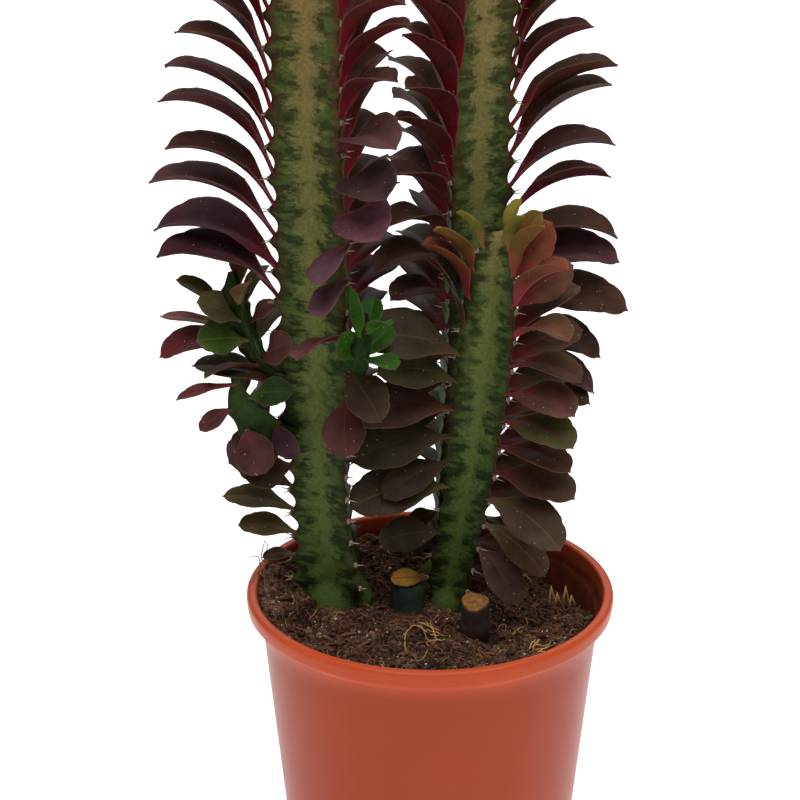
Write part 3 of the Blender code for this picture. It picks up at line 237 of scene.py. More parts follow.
FRONT_STEM = {
    "name": "front_stem",
    "spiny": True,
    "seed": 37,
    "peg": 0.0100,
    "collar": 0.1360,
    "path": (
        (0.0090, 0.0120, 0.1000), (0.0096, 0.0120, 0.1360), (0.0148, 0.0120, 0.1682),
        (0.0190, 0.0120, 0.1907), (0.0222, 0.0120, 0.2139), (0.0250, 0.0120, 0.2387),
        (0.0280, 0.0120, 0.2650), (0.0296, 0.0120, 0.2890), (0.0304, 0.0120, 0.3196),
    ),
    "radius": (
        (0.036, 0.0105), (0.060, 0.0114), (0.090, 0.0124), (0.120, 0.0139), (0.150, 0.0147),
        (0.180, 0.0142), (0.203, 0.0120), (0.217, 0.0070), (0.2225, 0.0028),
    ),
    "pitch": ((0.036, 0.0110), (0.120, 0.0132), (0.180, 0.0138), (0.222, 0.0090)),
    "turn": 182.0,
    "wide": ((0.05, 0.50), (0.14, 0.48), (0.18, 0.52), (0.22, 0.46)),
    "ribs": (
        {
            "lift": ((0.05, 0), (0.10, 6), (0.14, 12), (0.165, 34), (0.195, 70), (0.22, 78)),
            "curl": ((0.05, 30), (0.10, 36), (0.14, 42), (0.165, 54), (0.195, 48), (0.22, 30)),
            "length": (
                (0.05, 0.032), (0.08, 0.045), (0.14, 0.046), (0.18, 0.044), (0.205, 0.030),
                (0.222, 0.010),
            ),
            "roll": ((0.05, -45), (0.14, -42), (0.165, -18), (0.195, 0)),
            "fold": ((0.05, 12), (0.14, 14), (0.165, 26), (0.195, 40)),
            "swing": ((0.05, 16),),
            "bare": ((0.150, 1.0), (0.160, 0.0)),
        },
        {
            "lift": ((0.05, 0), (0.10, 10), (0.14, 20), (0.165, 40), (0.195, 68), (0.22, 78)),
            "curl": ((0.05, 30), (0.10, 40), (0.14, 46), (0.165, 54), (0.195, 46), (0.22, 30)),
            "length": (
                (0.05, 0.032), (0.08, 0.043), (0.14, 0.046), (0.18, 0.044), (0.205, 0.030),
                (0.222, 0.010),
            ),
            "roll": ((0.05, 34), (0.14, 30), (0.165, 14), (0.195, 0)),
            "fold": ((0.05, 12), (0.14, 14), (0.165, 26), (0.195, 40)),
            "swing": ((0.05, 24), (0.22, 14)),
            "bare": ((0.060, 1.0), (0.064, 0.0)),
        },
        {
            "lift": ((0.05, 5), (0.10, 16), (0.14, 30), (0.17, 48), (0.195, 68), (0.22, 78)),
            "curl": ((0.05, 30), (0.10, 40), (0.14, 48), (0.17, 54), (0.195, 46), (0.22, 30)),
            "length": (
                (0.05, 0.024), (0.08, 0.034), (0.14, 0.042), (0.18, 0.044), (0.205, 0.030),
                (0.222, 0.010),
            ),
            "roll": ((0.05, 30), (0.14, 24), (0.18, 0)),
            "fold": ((0.05, 12), (0.14, 16), (0.18, 34), (0.22, 40)),
            "swing": ((0.05, -38), (0.22, -30)),
        },
    ),
    "bare": ((0.000, 0.30), (0.055, 0.10), (0.080, 0.0)),
    "own": {
        (0, 2): {"lift": 6, "length": 0.034},
        (0, 4): {"lift": -2, "length": 0.050, "wide": 0.50},
        (0, 5): {"lift": -14, "length": 0.038},
        (0, 6): {"lift": 0, "length": 0.050, "wide": 0.50},
        (0, 7): {"lift": 12, "length": 0.050, "wide": 0.48},
        (0, 8): {"lift": 26, "length": 0.042, "wide": 0.52},
        (0, 9): {"lift": 24, "curl": 42, "length": 0.050, "wide": 0.54, "roll": -48},
        (0, 10): {"lift": 70, "curl": 20, "length": 0.040, "wide": 0.46, "roll": -30},
        (1, 2): {"lift": -22, "length": 0.036},
        (1, 3): {"lift": -10, "length": 0.040},
        (1, 4): {"lift": 10, "length": 0.049, "turn": 14},
        (2, 10): {"lift": 44, "curl": 20, "length": 0.036, "wide": 0.56, "roll": 56, "fold": 14, "turn": -50},
        (2, 11): {"lift": 64, "curl": 16, "length": 0.034, "wide": 0.60, "roll": 60, "fold": 10, "turn": -58},
        (2, 12): {"lift": 62, "curl": 14, "length": 0.026, "wide": 0.60, "roll": 58, "turn": -54},
    },
}

# Side shoots of the left stem: short, with broader leaves, alike on all three ribs
LOW_SIDE_SHOOT = {
    "name": "low_side_shoot",
    "spiny": False,
    "seed": 41,
    "path": (
        (-0.0575, 0.0055, 0.2235), (-0.0700, 0.0025, 0.2275), (-0.0800, -0.0015, 0.2365),
        (-0.0858, -0.0035, 0.2465), (-0.0872, -0.0035, 0.2560),
    ),
    "radius": ((0.0, 0.0042), (0.012, 0.0074), (0.026, 0.0094), (0.038, 0.0070), (0.046, 0.0024)),
    "pitch": ((0.0, 0.0100), (0.046, 0.0090)),
    "turn": 160.0,
    "wide": ((0.0, 0.66),),
    "ribs": (
        {
            "lift": ((0.0, 8), (0.030, 20), (0.052, 50)),
            "curl": ((0.0, 20), (0.030, 34), (0.052, 34)),
            "length": ((0.0, 0.020), (0.030, 0.024), (0.052, 0.022)),
            "roll": ((0.0, 0),),
            "fold": ((0.0, 14), (0.060, 24)),
            "swing": ((0.0, 0),),
        },
    ) * RIBS,
    "bare": ((0.0, 1.0), (0.012, 0.70), (0.030, 0.40)),
    "own": {
        (2, 1): {"lift": -50, "curl": 14, "length": 0.020, "wide": 0.80, "turn": -78, "roll": 0},
        (1, 2): {"lift": -40, "curl": 14, "length": 0.024, "wide": 0.88, "turn": 56, "roll": -6},
        (1, 3): {"lift": 6, "curl": 12, "length": 0.019, "wide": 0.50, "turn": 0, "roll": -50},
        (1, 4): {"lift": 4, "curl": 14, "length": 0.030, "wide": 0.32, "turn": 0, "roll": -10},
        (2, 3): {"lift": 6, "curl": 30, "length": 0.024, "wide": 0.62, "turn": 10, "roll": 36},
    },
}

HIGH_SIDE_SHOOT = {
    "name": "high_side_shoot",
    "spiny": False,
    "seed": 43,
    "path": (
        (-0.0600, 0.0080, 0.2500), (-0.0745, 0.0060, 0.2580), (-0.0815, 0.0050, 0.2700),
        (-0.0868, 0.0050, 0.2860), (-0.0882, 0.0050, 0.3030),
    ),
    "radius": (
        (0.0, 0.0040), (0.020, 0.0048), (0.036, 0.0066), (0.050, 0.0074), (0.056, 0.0052),
        (0.062, 0.0020),
    ),
    "pitch": ((0.0, 0.0105), (0.062, 0.0085)),
    "turn": 135.0,
    "wide": ((0.0, 0.50),),
    "ribs": (
        {
            "lift": ((0.0, 4), (0.030, 24), (0.050, 50)),
            "curl": ((0.0, 30), (0.050, 40)),
            "length": ((0.0, 0.026), (0.020, 0.031), (0.050, 0.024)),
            "roll": ((0.0, 0),),
            "fold": ((0.0, 14), (0.040, 24)),
            "swing": ((0.0, 0),),
        },
    ) * RIBS,
    "bare": ((0.0, 1.0), (0.010, 0.60), (0.062, 0.40)),
    "own": {
        (1, 1): {"lift": 28, "curl": 34, "length": 0.036, "wide": 0.38, "turn": 10, "roll": -14},
        (1, 2): {"lift": 42, "curl": 66, "length": 0.042, "wide": 0.42, "turn": 10, "roll": -22},
        (2, 2): {"lift": 34, "curl": 12, "length": 0.026, "wide": 0.72, "turn": -84, "roll": -58},
        (1, 3): {"lift": 34, "curl": 12, "length": 0.034, "wide": 0.28, "turn": 10, "roll": -10},
        (2, 3): {"lift": 50, "curl": 12, "length": 0.025, "wide": 0.70, "turn": -80, "roll": -56},
        (1, 4): {"lift": 54, "curl": 20, "length": 0.027, "wide": 0.44, "turn": 20, "roll": -30},
        (2, 1): {"lift": 12, "curl": 22, "length": 0.025, "wide": 0.66, "turn": 36, "roll": 40},
        (0, 3): {"lift": 24, "curl": 20, "length": 0.016, "wide": 0.62, "turn": -54, "roll": 40},
    },
}

INNER_SIDE_SHOOT = {
    "name": "inner_side_shoot",
    "spiny": False,
    "seed": 47,
    "path": (
        (-0.0420, -0.0040, 0.2560), (-0.0350, -0.0120, 0.2620), (-0.0302, -0.0160, 0.2740),
        (-0.0284, -0.0170, 0.2920),
    ),
    "radius": ((0.0, 0.0045), (0.016, 0.0062), (0.030, 0.0050), (0.042, 0.0018)),
    "pitch": ((0.0, 0.0125), (0.042, 0.0110)),
    "turn": 20.0,
    "wide": ((0.0, 0.62),),
    "ribs": (
        {
            "lift": ((0.0, 20), (0.040, 58)),
            "curl": ((0.0, 35), (0.040, 30)),
            "length": ((0.0, 0.020), (0.020, 0.023), (0.040, 0.016)),
            "roll": ((0.0, 0),),
            "fold": ((0.0, 14), (0.040, 24)),
            "swing": ((0.0, 0),),
        },
    ) * RIBS,
    "bare": ((0.0, 1.0), (0.012, 0.3), (0.030, 0.1)),
    "own": {
        (1, 1): {"lift": 44, "curl": -16, "length": 0.022, "wide": 0.68, "turn": 24, "roll": -70},
        (1, 2): {"lift": 56, "curl": -34, "length": 0.030, "wide": 0.52, "turn": 46, "roll": -20},
        (0, 3): {"lift": 48, "curl": 10, "length": 0.030, "wide": 0.52, "turn": -50, "roll": 40},
    },
}

LEAF_STUB = {
    "name": "leaf_stub",
    "spiny": False,
    "seed": 53,
    "peg": 0.0080,
    "collar": 0.1375,
    "path": (
        (-0.0105, 0.0040, 0.1180), (-0.0107, 0.0040, 0.1375), (-0.0104, 0.0044, 0.1470),
        (-0.0094, 0.0054, 0.1540),
    ),
    "radius": ((0.019, 0.0094), (0.025, 0.0098), (0.031, 0.0092), (0.0345, 0.0066), (0.0365, 0.0030)),
    "pitch": ((0.019, 0.0070), (0.036, 0.0060)),
    "turn": 250.0,
    "valley": 0.86,
    "ribs": (
        {
            "lift": ((0.0, 52),),
            "curl": ((0.0, 50),),
            "length": ((0.0, 0.017), (0.038, 0.017)),
            "roll": ((0.0, 0),),
            "fold": ((0.0, 12),),
            "swing": ((0.0, -25),),
        },
    ) * RIBS,
    "bare": ((0.0, 1.0), (0.038, 1.0)),
}

# Shoots that stand in the soil, then all shoots in the order in which they grow, and the node of each
STANDING = (LEFT_STEM, REAR_STEM, FRONT_STEM, LEAF_STUB)
PLANS = (LEFT_STEM, LOW_SIDE_SHOOT, HIGH_SIDE_SHOOT, INNER_SIDE_SHOOT, REAR_STEM, FRONT_STEM, LEAF_STUB)
NODES = ("left_stem",) * 4 + ("rear_stem", "front_stem", "leaf_stub")

# Leaf
LEAF_WIDTH = ((0.05, 0.50), (0.16, 0.47), (0.25, 0.41), (0.37, 0.39))
LEAF_SHAPE = (
    (0.00, 0.17), (0.10, 0.20), (0.26, 0.55), (0.42, 0.88), (0.58, 1.00), (0.74, 0.90), (0.88, 0.54),
    (1.00, 0.00),
)
LEAF_STATIONS = (0.0, 0.17, 0.48, 0.79)
LEAF_THICK = 0.0016
LEAF_SINK = 0.0040
LEAF_CLEARANCE = 0.0012
CLEAR_STEPS = 20

# Spines
SPINE_LENGTH = 0.0050
SPINE_RADIUS = 0.0004

# Cut stub
CUT_STUB_POINT = (0.0205, -0.0200, 0.1180)
CUT_STUB_RADIUS = 0.0066
CUT_STUB_TOP = 0.1528
CUT_STUB_TILT = 14.0
CUT_STUB_NECK = 0.1385

# Fine skin of a shoot: rings a tooth, and degrees from a rib's crest to the valley
RINGS_A_TOOTH = 8
FINE_SECTION = (0.0, 2.5, 5.5, 9.5, 14.0, 20.0, 28.0, 38.0, 49.0, 60.0)

# Fine leaf: stations along the midrib, shares of the half width, and the blade's thickness
FINE_STATIONS = (
    0.0, 0.05, 0.10, 0.16, 0.22, 0.28, 0.34, 0.40, 0.46, 0.52, 0.58, 0.64, 0.70,
    0.755, 0.80, 0.84, 0.875, 0.905, 0.93, 0.95, 0.967, 0.982, 1.0,
)
ACROSS = (-1.0, -0.88, -0.66, -0.38, -0.13, 0.0, 0.13, 0.38, 0.66, 0.88, 1.0)
BLADE_THICK = 0.0010
EDGE_THICK = 0.0004

# Soil: the level it was filled to, how far a stem's foot lifts it, and how near the rim it may come
SOIL_LEVEL = 0.1372
FOOT_REACH = 0.012
UNDER_RIM = 0.0014
# Banks and hollows of the coarse soil: place, height and squared reach
SOIL_BANKS = (
    (-0.070, 0.015, 0.0055, 0.0030), (-0.035, 0.062, 0.0040, 0.0008), (0.062, 0.030, -0.0110, 0.0012),
    (0.005, -0.070, -0.0030, 0.0012), (-0.012, -0.030, 0.0022, 0.0003),
)
# Hollows of the fine soil: place, depth and reach
SOIL_HOLLOWS = (
    (-0.058, -0.014, 0.0046, 0.0085), (-0.066, 0.008, 0.0036, 0.0060), (0.030, -0.026, 0.0044, 0.0070),
    (0.052, -0.002, 0.0030, 0.0100), (0.002, -0.052, 0.0018, 0.0060),
)
# How far out loose bits lie, and a full turn for their random angles
BITS_REACH = 0.0755
TURN = 6.283

# Leaf colours by shoot: (share of the way up, upper side, underside, midrib), sRGB
BLADE_COLOURS = {
    "left_stem": (
        (0.00, "#36301E", "#2C2C18", "#5A5A2C"),
        (0.28, "#3A2A20", "#2E2015", "#5A3A26"),
        (0.45, "#412D29", "#2C1010", "#6A1626"),
        (0.75, "#462C26", "#3C1010", "#821426"),
        (1.00, "#5E3226", "#4E2218", "#86222E"),
    ),
    "rear_stem": (
        (0.00, "#2C2A1A", "#262414", "#4C4E28"),
        (0.30, "#32251C", "#2A1C14", "#4C2E22"),
        (0.48, "#412D28", "#2C1011", "#6A1626"),
        (0.75, "#462D26", "#3E1110", "#841526"),
        (1.00, "#5E3226", "#4E2218", "#86222E"),
    ),
    "front_stem": (
        (0.00, "#3A2C20", "#2C2216", "#5A4430"),
        (0.45, "#402A20", "#322016", "#64282A"),
        (0.75, "#51342C", "#40231B", "#8C2C38"),
        (0.86, "#74402A", "#66381E", "#A83A48"),
        (0.94, "#78662A", "#6A5C22", "#985A38"),
        (1.00, "#6F8A30", "#688430", "#86A040"),
    ),
    "low_side_shoot": ((0.0, "#4A2C26", "#3A2A1C", "#6A3A30"), (1.0, "#46382A", "#3A4424", "#6A5038")),
    "high_side_shoot": ((0.0, "#46302A", "#3A3A20", "#6C4434"), (1.0, "#4C4A2A", "#424E22", "#746A38")),
    "inner_side_shoot": ((0.0, "#1E3410", "#1C3210", "#3A561C"), (1.0, "#26440F", "#223E0E", "#4A6E22")),
    "leaf_stub": ((0.0, "#86601E", "#6A4818", "#4A3216"), (1.0, "#86601E", "#6A4818", "#4A3216")),
}
# What a leaf's own chance leans to: (below this chance, colour, how far)
LEANS = {
    "left_stem": (
        (0.16, "#3C4424", 0.50), (0.30, "#4A3026", 0.35), (0.80, "#422524", 0.0),
        (1.01, "#56363C", 0.40),
    ),
    "rear_stem": (
        (0.24, "#2E3C1E", 0.65), (0.42, "#46301F", 0.40), (0.85, "#422524", 0.0),
        (1.01, "#54343A", 0.40),
    ),
    "front_stem": (
        (0.26, "#3A4422", 0.60), (0.50, "#4A3A26", 0.50), (0.80, "#482E28", 0.0),
        (1.01, "#5C403A", 0.40),
    ),
    "low_side_shoot": ((0.40, "#5A2A26", 0.60), (0.70, "#3A4A22", 0.60), (1.01, "#584434", 0.5)),
    "high_side_shoot": ((0.45, "#60282A", 0.55), (1.01, "#4E5228", 0.45)),
    "inner_side_shoot": ((0.25, "#485220", 0.4), (1.01, "#3A6C1C", 0.3)),
    "leaf_stub": ((1.01, "#86601E", 0.0),),
}
# Leaves whose colour stands out in the plant, by shoot, rib and tooth: upper side, underside and midrib
OWN_COLOURS = {
    "left_stem": {
        (0, 2): ("#524426", "#382C1A", "#5E5230"),
        (0, 3): ("#504226", "#362A1A", "#5C502E"),
        (0, 4): ("#483822", "#322618", "#54462A"),
        (1, 8): ("#502F2B", "#38201C", "#66302E"),
        (1, 9): ("#382C22", "#2A2016", "#4E3C2A"),
        (1, 10): ("#5A3438", "#3C1C20", "#782C3C"),
        (1, 12): ("#563C42", "#3C2428", "#6C3440"),
        (1, 13): ("#523840", "#3A2026", "#6A303E"),
        (1, 14): ("#5C3840", "#3E2026", "#742E3E"),
        (1, 15): ("#3E2C2C", "#2C1A1A", "#58303A"),
        (1, 16): ("#4C3132", "#321C1E", "#6A2C38"),
        (0, 11): ("#3C2226", "#301216", "#641828"),
        (0, 12): ("#442A2E", "#34161A", "#681A2A"),
    },
    "front_stem": {
        (1, 2): ("#46342C", "#30241C", "#584038"),
        (1, 3): ("#4C3828", "#32261A", "#6E583E"),
        (1, 4): ("#443426", "#30261A", "#624E38"),
        (0, 2): ("#2E281E", "#241E14", "#443828"),
        (0, 4): ("#40352A", "#30281A", "#5E6030"),
        (0, 5): ("#30261E", "#261E16", "#46342A"),
        (0, 6): ("#302A1C", "#262014", "#463A26"),
        (0, 7): ("#3E2C26", "#2E2018", "#58382C"),
        (0, 8): ("#34301E", "#2A2416", "#4C4A28"),
        (0, 9): ("#3E3428", "#30241A", "#5A4A32"),
        (0, 10): ("#2C2A1E", "#2E1E16", "#54332A"),
    },
    "high_side_shoot": {
        (1, 1): ("#4E2A28", "#34201A", "#6A302E"),
        (1, 2): ("#56262A", "#3C3420", "#8A2434"),
        (2, 2): ("#3A4A1C", "#34461C", "#586A2C"),
        (1, 3): ("#6E4A44", "#4C5A28", "#8A6A50"),
        (2, 3): ("#48402A", "#3E3C20", "#5E5434"),
        (1, 4): ("#54502A", "#424620", "#706638"),
        (2, 1): ("#4C2E2A", "#34201C", "#62302C"),
        (0, 3): ("#6A4440", "#4A2C26", "#7E4038"),
    },
    "low_side_shoot": {
        (1, 2): ("#4A2E2E", "#34201E", "#5E2E2C"),
        (2, 1): ("#382428", "#281A1C", "#4A2C30"),
        (1, 3): ("#583434", "#3C201E", "#6A3232"),
        (1, 4): ("#5A2C2C", "#3C201C", "#7A2A30"),
        (2, 3): ("#26361A", "#202E16", "#3C4E24"),
    },
}


def linear(hex_colour):
    """Linear RGB of an sRGB hex colour."""
    parts = [int(hex_colour[i : i + 2], 16) / 255.0 for i in (1, 3, 5)]
    return tuple(p / 12.92 if p <= 0.04045 else ((p + 0.055) / 1.055) ** 2.4 for p in parts)


def rgba(colour):
    """A colour socket's value, from sRGB hex or linear RGB."""
    return (*(linear(colour) if isinstance(colour, str) else tuple(colour)), 1.0)


def blend(a, b, share):
    """A colour a share of the way from a to b."""
    return tuple(p * (1.0 - share) + q * share for p, q in zip(a, b))


def add(tree, kind, inputs=None, stops=None, out=0, **settings):
    """Add a shader node with its settings, inputs and ramp stops, and give one of its outputs.

    Inputs are values or sockets, by name or number in a dict, or else in the node's own order. For a MapRange
    that is the value, the range it comes from and the range it goes to.
    """
    made = tree.nodes.new("ShaderNode" + kind)
    for name, value in settings.items():
        setattr(made, name, value)
    for key, value in inputs.items() if isinstance(inputs, dict) else enumerate(inputs or ()):
        if isinstance(value, bpy.types.NodeSocket):
            tree.links.new(value, made.inputs[key])
        else:
            made.inputs[key].default_value = value
    if stops:
        ramp = made.color_ramp.elements
        while len(ramp) < len(stops):
            ramp.new(0.5)
        for element, (place, colour) in zip(ramp, stops):
            element.position = place
            element.color = rgba(colour)
    return made.outputs[out]


# A mix of colours: what its node is set to and which output holds the colour
RGB_MIX = {"data_type": "RGBA", "out": 2}


def start_material(name):
    """A new material, its node tree, its shader and the place on the object."""
    made = bpy.data.materials.new(name)
    made.use_nodes = True
    tree = made.node_tree
    return made, tree, tree.nodes["Principled BSDF"], add(tree, "TexCoord", out="Object")


def value_of(tree, name):
    """The value that a piece's points carry under a name."""
    return add(tree, "Attribute", attribute_name=name, out="Fac")


def injection_moulded_polypropylene(settings):
    """Terracotta polypropylene from a polished mould: soft wide gloss, faint flow mottling and fine scuffs.

    The inside of the wall above the soil has painted shade, darker in patches, and is rougher, so it looks
    dark and dull.
    """
    made, tree, shader, place = start_material("injection_moulded_polypropylene")
    # flow marks 40 mm wide, stretched along the wall
    flow = add(tree, "Mapping", {"Vector": place, "Scale": (1.0, 1.0, 0.25)})
    mottle = add(tree, "TexNoise", {"Vector": flow, "Scale": 25.0, "Detail": 4.0, "Roughness": 0.6})
    body = add(tree, "Mix", {0: mottle, 6: rgba(settings.shade), 7: rgba(settings.colour)}, **RGB_MIX)
    # scuffs 1.5 mm long, lighter where the skin is rubbed
    rub = add(tree, "Mapping", {"Vector": place, "Scale": (1.0, 1.0, 6.0)})
    grit = add(tree, "TexNoise", {"Vector": rub, "Scale": 320.0, "Detail": 3.0})
    marks = add(tree, "MapRange", (grit, 0.66, 0.74, 0.0, 0.10))
    rubbed = add(tree, "Mix", {0: marks, 6: body, 7: rgba("#D98A6A")}, **RGB_MIX)
    # painted light and shade: the rim brighter and the wall under it a shade darker, as when lit from above
    high = add(tree, "SeparateXYZ", {0: place}, out="Z")
    painted_shade = add(tree, "MapRange", (high, 0.132, 0.140, 0.80, 1.12))
    shaded = add(tree, "VectorMath", {0: rubbed, 3: painted_shade}, operation="SCALE")
    # painted shade on the inside of the wall, deepest just above the soil, in patches of 6 mm
    patch = add(tree, "TexNoise", {"Vector": place, "Scale": 160.0, "Detail": 5.0})
    inner_shade = add(tree, "MapRange", (patch, 0.30, 0.62, 0.74, 0.90))
    inside = add(tree, "Math", (inner_shade, value_of(tree, "inside")), operation="MULTIPLY")
    inside_shaded = add(tree, "Mix", {0: inside, 6: shaded, 7: rgba("#30100A")}, **RGB_MIX)
    tree.links.new(inside_shaded, shader.inputs["Base Color"])
    gloss = add(tree, "MapRange", (mottle, 0.0, 1.0, settings.roughness - 0.05, settings.roughness + 0.06))
    dull = add(tree, "Math", (gloss, inside), operation="ADD")
    tree.links.new(dull, shader.inputs["Roughness"])
    shader.inputs["IOR"].default_value = 1.49
    shader.inputs["Specular IOR Level"].default_value = 0.16
    # orange-peel 0.8 mm across, as coarse as it needs to show
    peel = add(tree, "TexNoise", {"Vector": place, "Scale": 1200.0, "Detail": 2.0})
    bump = add(tree, "Bump", {"Height": peel, "Strength": 0.06, "Distance": 0.0002})
    tree.links.new(bump, shader.inputs["Normal"])
    return made


def milk_tree_skin(settings):
    """Living stem skin, thinly waxed: dark patches by each tooth, a pale feathered stripe down each face."""
    made, tree, shader, place = start_material("milk_tree_skin")
    rise = value_of(tree, "rise")
    off = value_of(tree, "from_crest")
    wave = value_of(tree, "tooth_wave")
    fresh = value_of(tree, "fresh")
    # feathering in streaks 1.6 mm thick and 4 mm long across the face, broken by a grain of 1 mm
    flat = add(tree, "Mapping", {"Vector": place, "Scale": (0.42, 0.42, 1.0)})
    streak = add(
        tree, "TexNoise",
        {"Vector": flat, "Scale": 460.0, "Detail": 6.0, "Roughness": 0.68, "Distortion": 0.7},
    )
    cloud = add(tree, "TexNoise", {"Vector": place, "Scale": 130.0, "Detail": 3.0})
    feather = add(tree, "Math", (streak, -0.5), operation="ADD")
    spread = add(tree, "Math", (feather, 1.8, off), operation="MULTIPLY_ADD")
    # a dark patch level with each tooth, a pale branch between two teeth
    banded = add(tree, "Math", (wave, -0.16, spread), operation="MULTIPLY_ADD")
    drift = add(tree, "Math", (cloud, 0.6, banded), operation="MULTIPLY_ADD")
    pale = add(tree, "MapRange", (drift, 0.55, 1.00), interpolation_type="SMOOTHSTEP")
    dark_by_height = add(
        tree, "ValToRGB", {"Fac": rise},
        stops=((0.0, "#1E2C15"), (0.30, "#26331A"), (0.62, "#2E371B"), (1.0, "#423A1E")),
    )
    pale_by_height = add(
        tree, "ValToRGB", {"Fac": rise},
        stops=((0.0, "#4C5E2C"), (0.30, "#5C6836"), (0.62, "#6E6C3C"), (0.82, "#7C6C42"), (1.0, "#826036")),
    )
    # brighter green islands 4 mm across in the dark patches
    island = add(tree, "TexNoise", {"Vector": flat, "Scale": 240.0, "Detail": 4.0})
    isles = add(tree, "MapRange", (island, 0.47, 0.58, 0.0, 0.62))
    dark = add(tree, "Mix", {0: isles, 6: dark_by_height, 7: rgba("#52642F")}, **RGB_MIX)
    laid = add(tree, "Mix", {0: pale, 6: dark, 7: pale_by_height}, **RGB_MIX)
    # mottling 1.4 mm across over both
    fleck = add(tree, "TexNoise", {"Vector": place, "Scale": 700.0, "Detail": 5.0, "Roughness": 0.65})
    light = add(tree, "MapRange", (fleck, 0.30, 0.70, 0.70, 1.30))
    face = add(tree, "VectorMath", {0: laid, 3: light}, operation="SCALE")
    # the crests brown with age, in broken patches
    worn = add(tree, "Math", (cloud, -0.30, off), operation="MULTIPLY_ADD")
    crest = add(tree, "MapRange", (worn, -0.14, 0.05, 0.80, 0.0))
    crest_by_height = add(
        tree, "ValToRGB", {"Fac": rise}, stops=((0.0, "#2A2818"), (0.5, "#44301F"), (1.0, "#5A3A28")),
    )
    crested = add(tree, "Mix", {0: crest, 6: face, 7: crest_by_height}, **RGB_MIX)
    # corky freckles 0.5 mm across, 3 mm apart
    cell = add(tree, "TexVoronoi", {"Vector": place, "Scale": 330.0, "Randomness": 1.0})
    dots = add(tree, "MapRange", (cell, 0.07, 0.14, 0.55, 0.0))
    freckled = add(tree, "Mix", {0: dots, 6: crested, 7: rgba("#2A2A1A")}, **RGB_MIX)
    # young shoots are plain green, bluish where they sit low in the shade
    young_dark = add(tree, "ValToRGB", {"Fac": rise}, stops=((0.03, "#1E2A26"), (0.15, "#11230D")))
    young_pale = add(tree, "ValToRGB", {"Fac": rise}, stops=((0.03, "#3A4642"), (0.15, "#273C1A")))
    young = add(tree, "Mix", {0: cloud, 6: young_dark, 7: young_pale}, **RGB_MIX)
    speckled = add(tree, "VectorMath", {0: young, 3: light}, operation="SCALE")
    skin = add(tree, "Mix", {0: fresh, 6: freckled, 7: speckled}, **RGB_MIX)
    tree.links.new(skin, shader.inputs["Base Color"])
    wax = add(tree, "MapRange", (cloud, 0.0, 1.0, settings.roughness + 0.04, settings.roughness + 0.22))
    tree.links.new(wax, shader.inputs["Roughness"])
    shader.inputs["IOR"].default_value = 1.42
    shader.inputs["Specular IOR Level"].default_value = 0.07
    shader.inputs["Subsurface Weight"].default_value = 0.06
    shader.inputs["Subsurface Radius"].default_value = (0.3, 0.6, 0.2)
    shader.inputs["Subsurface Scale"].default_value = 0.002
    bump = add(tree, "Bump", {"Height": streak, "Strength": 0.25, "Distance": 0.0004})
    tree.links.new(bump, shader.inputs["Normal"])
    return made


